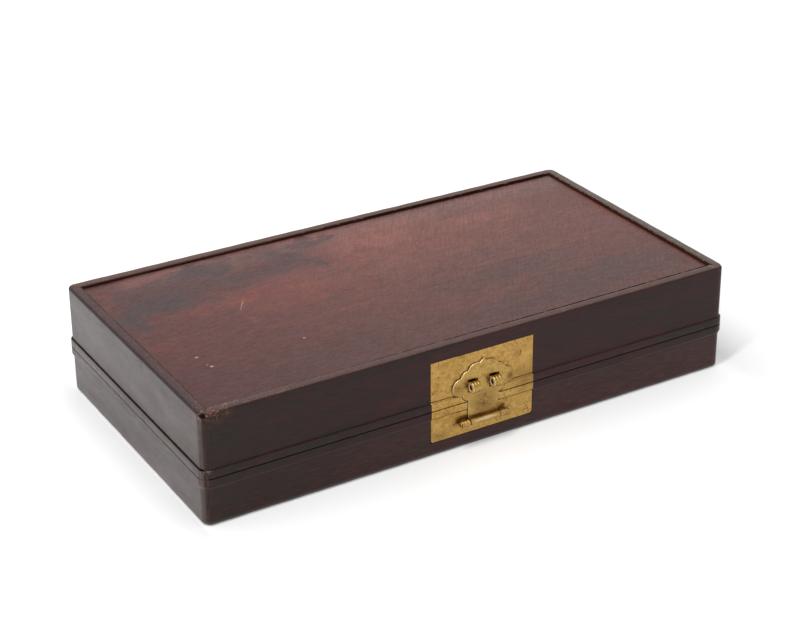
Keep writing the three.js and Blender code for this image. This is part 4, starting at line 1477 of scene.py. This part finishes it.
@dataclass
class LockPlates:
    """The two brass sheets of the lock, with the bands carried across them."""

    lock: Lock
    lid: Lid
    base: Base
    cell: float = 0.25
    edge: float = 0.35
    soft: float = 0.2
    pin_inset: float = 5.0
    upper_corner: float = 0.4
    lower_corner: float = 2.4
    pin_radius: float = 0.8
    dent_depth: float = 0.9
    dent_play: float = 0.3
    dent_half: float = 3.0
    fade_top: float = 35.5
    fade_soft: float = 2.2
    wave: float = 0.03

    @staticmethod
    def ramp(value: np.ndarray, low: float, high: float) -> np.ndarray:
        """Smooth step from 0 at low to 1 at high: 3t^2 - 2t^3."""
        t = np.clip((value - low) / (high - low), 0.0, 1.0)
        return t * t * (3 - 2 * t)

    def strip(self, z: np.ndarray, upper: bool) -> np.ndarray:
        """Height of the band over the sheet: smooth steps between its edges."""
        if upper:
            top = self.lid.lid_bottom + self.lid.band
            return 1.0 - self.ramp(z, top - 0.5, top + 0.05)
        foot = self.base.base_height - self.base.band
        return self.ramp(z, foot - self.base.band_slope * 0.55, foot + 0.1)

    def relief(self, x: np.ndarray, z: np.ndarray, upper: bool) -> np.ndarray:
        """Height of a sheet's front, before its edges are eased.

        The height is the band's, faded to nothing under the hasp, plus a slow waviness of two
        sines. The lid's sheet also has a dent round each staple.

        Args:
            x: grid of places on X.
            z: grid of places on Z.
            upper: whether this is the lid's sheet.

        Returns:
            Grid of heights.
        """
        lock = self.lock
        under = lock.half_width_at(z) + lock.slot_play
        fade = np.where((x > 0.0) & (z < self.fade_top), self.fade_soft, self.soft)
        clear = self.ramp(np.abs(x), under - self.soft, under + fade)
        clear = np.where(z < lock.pivot_z, 1.0, clear)
        height = self.strip(z, upper) * clear * lock.strip_proud
        height = height + self.wave * np.sin(x / 6.1 + z / 9.0) * np.sin(z / 5.3 - x / 11.0 + 1.0)
        for place in spread(0.0, lock.staple_spacing) if upper else ():
            away_x = np.abs(x - place) - lock.staple_width / 2 - self.dent_play
            away = np.maximum(away_x, np.abs(z - lock.staple_z) - self.dent_half)
            height = height - (1.0 - self.ramp(away, -self.soft, self.soft)) * self.dent_depth
        return height

    def sheet_mesh(self, name: str, span: Span, upper: bool, corner: float) -> bpy.types.Object:
        """A sheet whose front is a height over X and Z.

        A quarter-round fall towards the sheet's edges eases the height, and the points beyond the
        outer corners' roundings are pulled in. A ring at the back closes the sheet.

        Args:
            name: the piece's name.
            span: lowest and highest Z.
            upper: whether this is the lid's sheet.
            corner: how far the outer corners are cut round.

        Returns:
            The sheet.
        """
        low, high = spread(0.0, self.lock.plate_width)
        xs = np.linspace(low, high, int((high - low) / self.cell) + 1)
        zs = np.linspace(span[0], span[1], int((span[1] - span[0]) / self.cell) + 1)
        x, z = np.meshgrid(xs, zs, indexing="ij")
        side_x, side_z = high - np.abs(x), span[1] - z if upper else z - span[0]
        lack = np.clip(1.0 - np.minimum(side_x, side_z) / self.edge, 0.0, 1.0)
        height = self.relief(x, z, upper) - self.edge * (1.0 - np.sqrt(np.clip(1.0 - lack**2, 0.0, 1.0)))
        past_x, past_z = np.clip(corner - side_x, 0, None), np.clip(corner - side_z, 0, None)
        far = np.hypot(past_x, past_z)
        pull = np.clip(far - corner, 0, None) / np.maximum(far, 1e-6)
        x = x - np.sign(x) * past_x * pull
        z = z + past_z * pull * (-1 if upper else 1)
        front = np.stack([x, -self.lock.front - height, z], -1).reshape(-1, 3)
        rows, columns = x.shape
        ring = np.concatenate([
            np.arange(columns),
            np.arange(1, rows) * columns + columns - 1,
            (rows - 1) * columns + np.arange(columns - 2, -1, -1),
            np.arange(rows - 2, 0, -1) * columns,
        ])
        back = front[ring].copy()
        back[:, 1] = -self.lock.front + self.lock.sheet
        count, first = len(ring), len(front)
        following = np.roll(np.arange(count), -1)
        skirt = np.stack([ring, ring[following], first + following, first + np.arange(count)], -1)
        faces = grid_faces(rows, columns) + skirt.tolist() + [list(range(first, first + count))]
        return fill_mesh(name, (np.concatenate([front, back]), faces), 50.0)

    def pin_section(self) -> np.ndarray:
        """Section of a small pin, filed almost level with the sheet."""
        r = self.pin_radius
        section = [[-0.09, 0.0], [-0.08, r * 0.5], [-0.05, r * 0.85], [0.0, r], [5.0, r * 0.8], [5.0, 0.0]]
        return np.array(section) + [-self.lock.front, 0.0]

    def build(self, brass: Material) -> None:
        """Makes both sheets and their pins."""
        lock, inset = self.lock, self.pin_inset
        lid_bottom, base_top = self.lid.lid_bottom, self.base.base_height
        upper = self.sheet_mesh("upper_lock_sheet", (lid_bottom, lock.plate_top), True, self.upper_corner)
        dress(upper, "lid", "brass", brass, "lock_plate_upper")
        lower = self.sheet_mesh("lower_lock_sheet", (lock.plate_bottom, base_top), False, self.lower_corner)
        dress(lower, "base", "brass", brass, "lock_plate_lower")
        left, right = spread(0.0, lock.plate_width - 2 * inset)
        rows = {
            ("upper", "lid"): (lid_bottom + self.lid.band + inset, lock.plate_top - inset),
            ("lower", "base"): (
                lock.plate_bottom + inset, base_top - self.base.band - self.base.band_slope - inset
            ),
        }
        for (part, body), (low, high) in rows.items():
            for number, place in enumerate([(left, low), (right, low), (right, high), (left, high)], 1):
                names = f"{part}_sheet_pin_{number}", f"{part}_plate_pin_{number}"
                stud(names[0], self.pin_section(), place, 20, body, brass, names[1])


@dataclass
class HaspPiece:
    """The scalloped hasp with its two slots and the knuckle that it turns on."""

    lock: Lock
    bevel: float = 0.45
    bevel_steps: int = 4
    corner: float = 0.5
    hole_play: float = 0.1
    knuckle_ease: float = 0.3

    def outline(self) -> np.ndarray:
        """Whole outline of the leaf, turning anticlockwise as seen from the front."""
        right = self.lock.half_outline()
        left = right[1:][::-1] * np.array([-1.0, 1.0])
        return np.concatenate([right, left])[::-1]

    def slot(self, x: float) -> np.ndarray:
        """A slot with rounded corners, from its lower left corner clockwise."""
        lock, ease = self.lock, self.corner
        left, right = spread(x, lock.staple_width + 2 * lock.slot_play)
        low, high = spread(lock.staple_z, 2 * (lock.staple_radius + lock.slot_play))
        return rounded([(left, low, ease), (left, high, ease), (right, high, ease), (right, low, ease)], 4)

    @staticmethod
    def shifted(loop: np.ndarray, distance: float) -> np.ndarray:
        """A loop moved inwards, to the left of its direction, by a distance.

        Each point moves along the sum of the normals of its two sides, lengthened so that the
        sides move by the distance, but not past 1.6 times it.

        Args:
            loop: N by 2 array of points.
            distance: how far the sides move.

        Returns:
            The moved loop.
        """
        forward = np.roll(loop, -1, 0) - loop
        forward = forward / np.linalg.norm(forward, axis=1, keepdims=True)
        normal = np.stack([-forward[:, 1], forward[:, 0]], -1)
        total = normal + np.roll(normal, 1, 0)
        size = np.maximum(np.linalg.norm(total, axis=1, keepdims=True), 1e-6)
        return loop + total / size * distance * np.minimum(2.0 / size, 1.6)

    def leaf(self) -> Shape:
        """The leaf: loops stepped round its edges, and filled faces front and back.

        Going over the edge, the loops are moved in by b(1 - sin a) and back by b(1 - cos a).

        Returns:
            Points and faces.
        """
        lock = self.lock
        back_y = -lock.front - lock.leaf_gap
        angle = np.linspace(0.0, np.pi / 2, self.bevel_steps + 1)
        levels = [*(back_y - lock.leaf + self.bevel * (1.0 - np.cos(angle))), back_y]
        insets = [*(self.bevel * (1.0 - np.sin(angle))), 0.0]
        parts, caps, base = [], {0: [], len(levels) - 1: []}, 0
        for loop in (self.outline(), *(self.slot(x) for x in spread(0.0, lock.staple_spacing))):
            rings = [self.shifted(loop, inset) for inset in insets]
            lifted = [np.insert(ring, 1, level, 1) for ring, level in zip(rings, levels)]
            parts.append((np.concatenate(lifted), grid_faces(len(rings), len(loop), wrap_columns=True)))
            for level, ends in caps.items():
                ends.append((base + level * len(loop), rings[level]))
            base += len(rings) * len(loop)
        points, faces = joined(parts)
        for ends in caps.values():
            flat = [[Vector((*point, 0.0)) for point in ring] for _, ring in ends]
            numbers = [start + k for start, ring in ends for k in range(len(ring))]
            faces.extend([[numbers[k] for k in triangle] for triangle in tessellate_polygon(flat)])
        return points, faces

    def knuckle(self) -> Shape:
        """The rolled knuckle, with rounded ends and a hole for the pin."""
        lock = self.lock
        (a, b), r, ease = spread(0.0, 2 * lock.tongue_half), lock.knuckle_radius, self.knuckle_ease
        hole = lock.pin_radius + self.hole_play
        corners = [(a, hole, 0.0), (a, r, ease), (b, r, ease), (b, hole, 0.0)]
        return lathe(rounded(corners, 4), lock.pivot, True)

    def build(self, brass: Material) -> None:
        """Makes the hasp and dresses it."""
        shape = joined([self.leaf(), self.knuckle()])
        dress(fill_mesh("scalloped_hasp", shape, 28.0), "hasp", "brass", brass, "hasp")


@dataclass
class LoopFittings:
    """Staples on the lid, eyes on the base and the pin of the hasp."""

    lock: Lock
    ribs: int = 3
    rib_depth: float = 0.26
    stem: float = 3.2
    eye_stem: float = 2.2
    leg: float = 6.0
    leg_thickness: float = 0.9
    leg_proud: float = 0.1
    hole_play: float = 0.05
    inside: float = WIDTH / 2 - BOARD

    def ring_section(self, centre: float, width: float, radius: float, hole: float) -> np.ndarray:
        """Section of a ribbed ring.

        The outer radius falls between the ribs as radius - depth times the 6th power of the
        cosine of the place in the rib.

        Args:
            centre: middle of the ring on X.
            width: its width.
            radius: its outer radius.
            hole: radius of its hole.

        Returns:
            Closed loop of places and radii.
        """
        t = np.linspace(-0.5, 0.5, 49)
        fall = np.abs(np.cos(np.pi * (t + 0.5) * self.ribs)) ** 6
        ends = np.clip((np.abs(t) - 0.46) / 0.04, 0.0, 1.0) ** 2
        outer = np.stack([centre + t * width, radius - self.rib_depth * fall * (1 - ends) - 0.25 * ends], -1)
        (left, right), ease = spread(centre, width), 0.2
        inner = [[right, hole + ease], [right - ease, hole], [left + ease, hole], [left, hole + ease]]
        return np.concatenate([outer, inner])

    def legs(self, x: float, z: float, width: float, height: float, start: float) -> list[Shape]:
        """The stem through the wall and the legs spread inside it.

        Args:
            x: middle of the fitting.
            z: its height.
            width: width of stem and legs.
            height: height of the stem.
            start: where the stem starts, on Y.

        Returns:
            Two sets of points and faces.
        """
        side, back = spread(x, width), -self.inside + self.leg_proud
        stem = soft_block(side, (start, -self.inside), spread(z, height), 0.2)
        return [stem, soft_block(side, (back - self.leg_thickness, back), spread(z, 2 * self.leg), 0.25)]

    def build(self, brass: Material) -> None:
        """Makes staples, eyes and pin, and dresses them."""
        lock = self.lock
        staple_y, (pin_y, pin_z) = -lock.front - lock.staple_out, lock.pivot
        staple_start = staple_y + (lock.staple_radius + lock.staple_hole) / 2
        for side, sign in (("left", -1), ("right", 1)):
            x = sign * lock.staple_spacing / 2
            section = self.ring_section(x, lock.staple_width, lock.staple_radius, lock.staple_hole)
            legs = self.legs(x, lock.staple_z, lock.staple_width - 0.1, self.stem, staple_start)
            staple = joined([lathe(section, (staple_y, lock.staple_z), True), *legs])
            dress(fill_mesh(f"staple_loop_{side}", staple), "lid", "brass", brass, f"staple_{side}")
            x = sign * lock.eye_place
            hole = lock.pin_radius + self.hole_play
            section = self.ring_section(x, lock.eye_width, lock.eye_radius, hole)
            legs = self.legs(x, pin_z, lock.eye_width / 2, self.eye_stem, pin_y + lock.eye_radius / 2)
            eye = joined([lathe(section, lock.pivot, True), *legs])
            dress(fill_mesh(f"pin_eye_{side}", eye), "base", "brass", brass, f"hasp_eye_{side}")
        rod = lathe(self.pin_section(), lock.pivot, steps=32)
        dress(fill_mesh("hasp_rod", rod), "base", "brass", brass, "hasp_pin")

    def pin_section(self) -> np.ndarray:
        """Section of the hasp's pin, with a domed head and a neck ring at each end."""
        lock = self.lock
        end = lock.eye_place + lock.eye_width / 2 + 0.1
        head, r = lock.pin_head, lock.pin_head_radius
        angle = np.linspace(0.0, np.pi / 2, 9)
        dome = np.stack([end + head * 0.3 + head * 0.7 * np.sin(angle), r * np.cos(angle)], -1)
        neck = [[0.0, lock.pin_radius], [end, lock.pin_radius], [end, r * 0.85], [end + head * 0.15, r]]
        right = np.concatenate([neck, dome])
        return np.concatenate([right[1:][::-1] * [-1.0, 1.0], right])


@dataclass
class Joinery:
    """Panels, liners and battens, whose shapes stay as they are."""

    ground: Triple = (0.105, 0.040, 0.026)
    dark: Triple = (0.055, 0.022, 0.015)
    red: Triple = (0.150, 0.052, 0.030)
    short: tuple[str, ...] = ("base_liner_left", "base_liner_right", "lid_batten_left", "lid_batten_right")

    def wood(self, name: str, grain: Grain, place: Triple) -> Material:
        """Unpolished wood of the inside."""
        colours = {"ground": self.ground, "dark": self.dark, "red": self.red}
        return WoodFinish(name, grain, place=place, rough=0.55, specular=0.3, **colours).material()

    def build(self) -> None:
        """Dresses the nodes."""
        long_wood = self.wood("liner_wood_long", Grain.ALONG_X, (3, 8, 1))
        short_wood = self.wood("liner_wood_short", Grain.ALONG_Y, (6, 2, 5))
        bottom = self.wood("bottom_panel_wood", Grain.ALONG_X, (9, 4, 7))
        for node in ("base_liner_front", "base_liner_back"):
            dress_node(node, long_wood)
        for node in self.short:
            dress_node(node, short_wood)
        dress_node("base_bottom_panel", bottom)
        dress_node("lid_top_panel", PanelFinish("panel_wood", Grain.ALONG_X).material())


@dataclass(frozen=True)
class Lamp:
    """A soft area lamp that faces the box: its place and size in metres, its power in watts."""

    name: str
    place: tuple[float, float, float]
    size: Span
    power: float

    def build(self) -> None:
        """Makes the lamp, unseen by the camera."""
        data = bpy.data.lights.new(self.name, "AREA")
        data.shape = "RECTANGLE"
        data.size, data.size_y = self.size
        data.energy = self.power
        lamp = placed(self.name, data)
        lamp.location = self.place
        lamp.rotation_euler = (-Vector(self.place)).to_track_quat("-Z", "Y").to_euler()
        lamp.visible_camera = False


@dataclass
class Studio:
    """Pale floor, soft light and the camera."""

    lens: float = 86.175
    location: tuple[float, float, float] = (-0.5722, -0.9689, 0.6079)
    azimuth: float = 31.675
    elevation: float = 24.033
    shift: Span = (-0.0409, -0.1081)
    sky: float = 0.69
    floor_colour: Triple = (0.85, 0.85, 0.85)
    floor_edge: float = 6000.0
    floor_z: float = -0.3
    # Lifts that are smaller at the box's foot and near its ends paint a soft shadow on the floor.
    shaded_foot_lift: float = 0.24
    near_lift: float = 0.335
    far_lift: float = 0.16
    end_shade: float = 0.085
    near_reach: float = 60.0
    far_reach: float = 700.0
    left_end: Span = (-191.5, -189.5)
    left_reach: float = 24.0
    left_share: float = 1.15
    right_end: Span = (188.0, 205.0)
    lamps: tuple[Lamp, ...] = (
        Lamp("key_lamp", (-1.51, -0.61, 3.65), (0.30, 2.4), 60.0),
        Lamp("side_lamp", (-0.85, 0.35, 0.42), (0.9, 0.35), 1.0),
    )

    @staticmethod
    def background_ray(shader: Shader) -> Value:
        """1 for what the camera sees directly or by way of gloss or glass."""
        names = ("Is Camera Ray", "Is Glossy Ray", "Is Transmission Ray")
        return reduce(Value.larger, [shader.node("ShaderNodeLightPath", {}, {}, name) for name in names])

    def floor(self) -> None:
        """A wide pale floor just below the box, lifted towards white where the camera sees it, and lifted
        less near the box's foot and past its ends, which paints a soft shadow there.
        """
        corners = [(-1, -1), (1, -1), (1, 1), (-1, 1)]
        points = np.array([(x * self.floor_edge, y * self.floor_edge, self.floor_z) for x, y in corners])
        mesh = bpy.data.meshes.new("floor")
        mesh.from_pydata(points * METRE, [], [[0, 1, 2, 3]])
        piece = placed("floor", mesh)
        shader = Shader(bpy.data.materials.new("pale_floor"))
        x, y, _ = shader.axes
        beside, before = (abs(x) - LENGTH / 2).larger(0.0), (abs(y) - WIDTH / 2).larger(0.0)
        away = (beside * beside + before * before).math("SQRT")
        # The smaller lift at the box's foot paints a soft contact shadow.
        near = away.step(0, self.near_reach, self.shaded_foot_lift, self.near_lift)
        rise = near + away.step(self.near_reach, self.far_reach, 0.0, self.far_lift)
        # A smaller lift just left of the left end, and all along past the right end, paints shade there.
        beyond = x.fall(*self.left_end) * away.step(0, self.left_reach, self.left_share, 0.0)
        rise = rise - beyond.larger(x.step(*self.right_end)) * self.end_shade
        matt = shader.node("ShaderNodeBsdfDiffuse", {}, {"Color": self.floor_colour})
        lift = self.background_ray(shader) * rise
        glow = shader.node("ShaderNodeEmission", {}, {"Color": WHITE, "Strength": lift})
        both = shader.node("ShaderNodeAddShader", {}, {0: matt, 1: glow})
        shader.node("ShaderNodeOutputMaterial", {}, {"Surface": both})
        mesh.materials.append(shader.owner)

    def world(self) -> None:
        """An even sky, white to the camera and to gloss."""
        shader = Shader(bpy.data.worlds.new("studio"))
        bpy.context.scene.world = shader.owner
        seen = self.background_ray(shader)
        strength = shader.node("ShaderNodeMapRange", {}, {"Value": seen, "To Min": self.sky, "To Max": 1.0})
        light = shader.node("ShaderNodeBackground", {}, {"Color": WHITE, "Strength": strength})
        shader.node("ShaderNodeOutputWorld", {}, {"Surface": light})

    def camera(self) -> None:
        """The camera at the photographed angle."""
        data = bpy.data.cameras.new("camera")
        data.lens = self.lens
        data.sensor_width = 36.0
        data.sensor_fit = "HORIZONTAL"
        data.shift_x, data.shift_y = self.shift
        data.dof.use_dof = False
        camera = placed("camera", data)
        azimuth, elevation = np.radians(self.azimuth), np.radians(self.elevation)
        level = np.cos(elevation)
        ahead = Vector((np.sin(azimuth) * level, np.cos(azimuth) * level, -np.sin(elevation)))
        camera.location = self.location
        camera.rotation_euler = ahead.to_track_quat("-Z", "Y").to_euler()
        bpy.context.scene.camera = camera

    def build(self) -> None:
        """Sets the whole stage."""
        bpy.context.scene.view_settings.view_transform = "Standard"
        self.floor()
        self.world()
        for lamp in self.lamps:
            lamp.build()
        self.camera()


def board_finishes() -> Finishes:
    """Finishes of the boards, which differ as the photographed sides do.

    Returns:
        A material for each side of the case.
    """
    front = BoardFinish("front_board_wood", Grain.ALONG_X, specular=0.215, place=(1, 2, 3))
    back = BoardFinish(
        "back_board_wood", Grain.ALONG_X, specular=0.24, place=(5, 7, 2), rim=(0.110, 0.048, 0.036),
        arris_light=0.3, recess_shade=0.7, shade_and_grime=(0.018, 0.0065, 0.0040),
    )
    left = BoardFinish(
        "end_board_wood", Grain.ALONG_Y, specular=0.24, place=(8, 3, 6), rim=(0.056, 0.021, 0.018),
        ledge_shade=1.0, parting_shade=0.7, arris_shade=0.75, coat=0.5,
        ground=(0.044, 0.0085, 0.0065), dark=(0.032, 0.0085, 0.0065), red=(0.060, 0.0085, 0.0070),
    )
    right = BoardFinish(
        "right_board_wood", Grain.ALONG_Y, specular=0.24, place=(2, 9, 4), rim=(0.092, 0.066, 0.055),
        ledge_shade=0.6, arris_light=0.7, coat=0.3, recess_shade=0.6, shade_and_grime=(0.040, 0.015, 0.007),
    )
    finishes = {"front": front, "back": back, "left": left, "right": right}
    return {side: finish.material() for side, finish in finishes.items()}


def brass_finishes() -> Finishes:
    """Finishes of the brass: plates with marks and stains, hasp, small fittings and hinges.

    Returns:
        A material for each kind of piece.
    """
    marks = blots(
        (-32, 62, 0.45, 2.2), (-32, 54, 1.1, 0.6), (-36.4, 58, 0.6, 0.6), (-36, 43.5, 0.8, 0.6),
        (18, 60.5, 0.7, 0.5), (25, 61.5, 0.8, 0.5), (28, 55, 0.5, 2.4), (31.5, 17.5, 0.6, 0.8),
        (33.5, 18, 0.5, 0.7), (32, 13, 0.6, 0.8), (34, 13.5, 0.6, 1.1), (33, 15.5, 0.5, 0.5),
        # The last mark is a painted shadow line under the hasp's knuckle.
        (0.5, 15.2, 15, 0.55),
    )
    stains = blots(
        (26, 54, 4, 5, 0.45), (19.5, 41.5, 3.6, 4.6, 0.75), (-15, 21, 7, 2.6), (-19, 18, 5, 4, 0.7),
        (15, 21.6, 3, 1.8), (0, 26, 10, 8, 0.4), (-6, 20.8, 12, 1.6, 0.8), (-19, 42, 3.6, 5, 0.35),
        (-31, 13, 10, 6, 0.5), (-20, 49, 4, 3, 0.3), (0, 31, 15, 11, 0.48), (30, 34, 12, 18, 0.4),
        (30, 58, 10, 7, 0.15), (36.5, 40, 2.5, 22, 0.3),
    )
    # Painted shade where the hasp's slots show the plate.
    slots = blots((-8.2, 42.4, 4.6, 5.4), (7.4, 42.4, 4.6, 5.4))
    # Painted shade lines at the ledge, the parting and the lower band's foot.
    lines = ((37.75, 0.45), (PARTING, 0.5), (25.9, 0.5))
    plate = BrassFinish("plate_brass", marks=marks, stains=stains, shade_holes=slots, lines=lines)
    hasp = BrassFinish(
        "hasp_brass", stains=stains, rough=0.38, arris=-101.3,
        # Painted shade in the gaps at the knuckle's ends.
        shade_holes=blots((-11.05, 17.8, 0.5, 4.0), (11.05, 17.8, 0.5, 4.0)),
        # A painted highlight along the knuckle.
        painted_highlights=blots((0, 18.7, 10.4, 0.9, 0.38)),
        bright=(0.540, 0.345, 0.113), ground=(0.410, 0.255, 0.078), brown=(0.235, 0.137, 0.038),
    )
    fitting = BrassFinish(
        # Dark painted shade inside the staples' bores.
        "fitting_brass", rough=0.36, shaded_bores=((-103.3, 42.1, 1.75),),
        # Painted highlights on the staples' left ends.
        painted_highlights=blots((-10.8, 42.1, 0.35, 4.0, 0.8), (4.8, 42.1, 0.35, 4.0, 0.8)),
        bright=(0.520, 0.338, 0.110), ground=(0.395, 0.246, 0.071), brown=(0.230, 0.126, 0.034),
    )
    hinge = BrassFinish("hinge_brass", nails=(115.0, 13.0, PARTING, 12.0))
    finishes = {"plate": plate, "hasp": hasp, "fitting": fitting, "hinge": hinge}
    return {kind: finish.material() for kind, finish in finishes.items()}


def main() -> None:
    """Builds the box piece by piece, then the studio round it."""
    logging.basicConfig(level=logging.INFO, format="%(message)s")
    lock, hinges, lid, base = Lock(), Hinges(), Lid(), Base()
    wood, brass = board_finishes(), brass_finishes()
    lid.build(lock, hinges, wood)
    base.build(lock, hinges, wood)
    Joinery().build()
    LockPlates(lock, lid, base).build(brass["plate"])
    HaspPiece(lock).build(brass["hasp"])
    LoopFittings(lock).build(brass["fitting"])
    hinges.build(brass["hinge"])
    Studio().build()


if __name__ == "__main__":
    main()
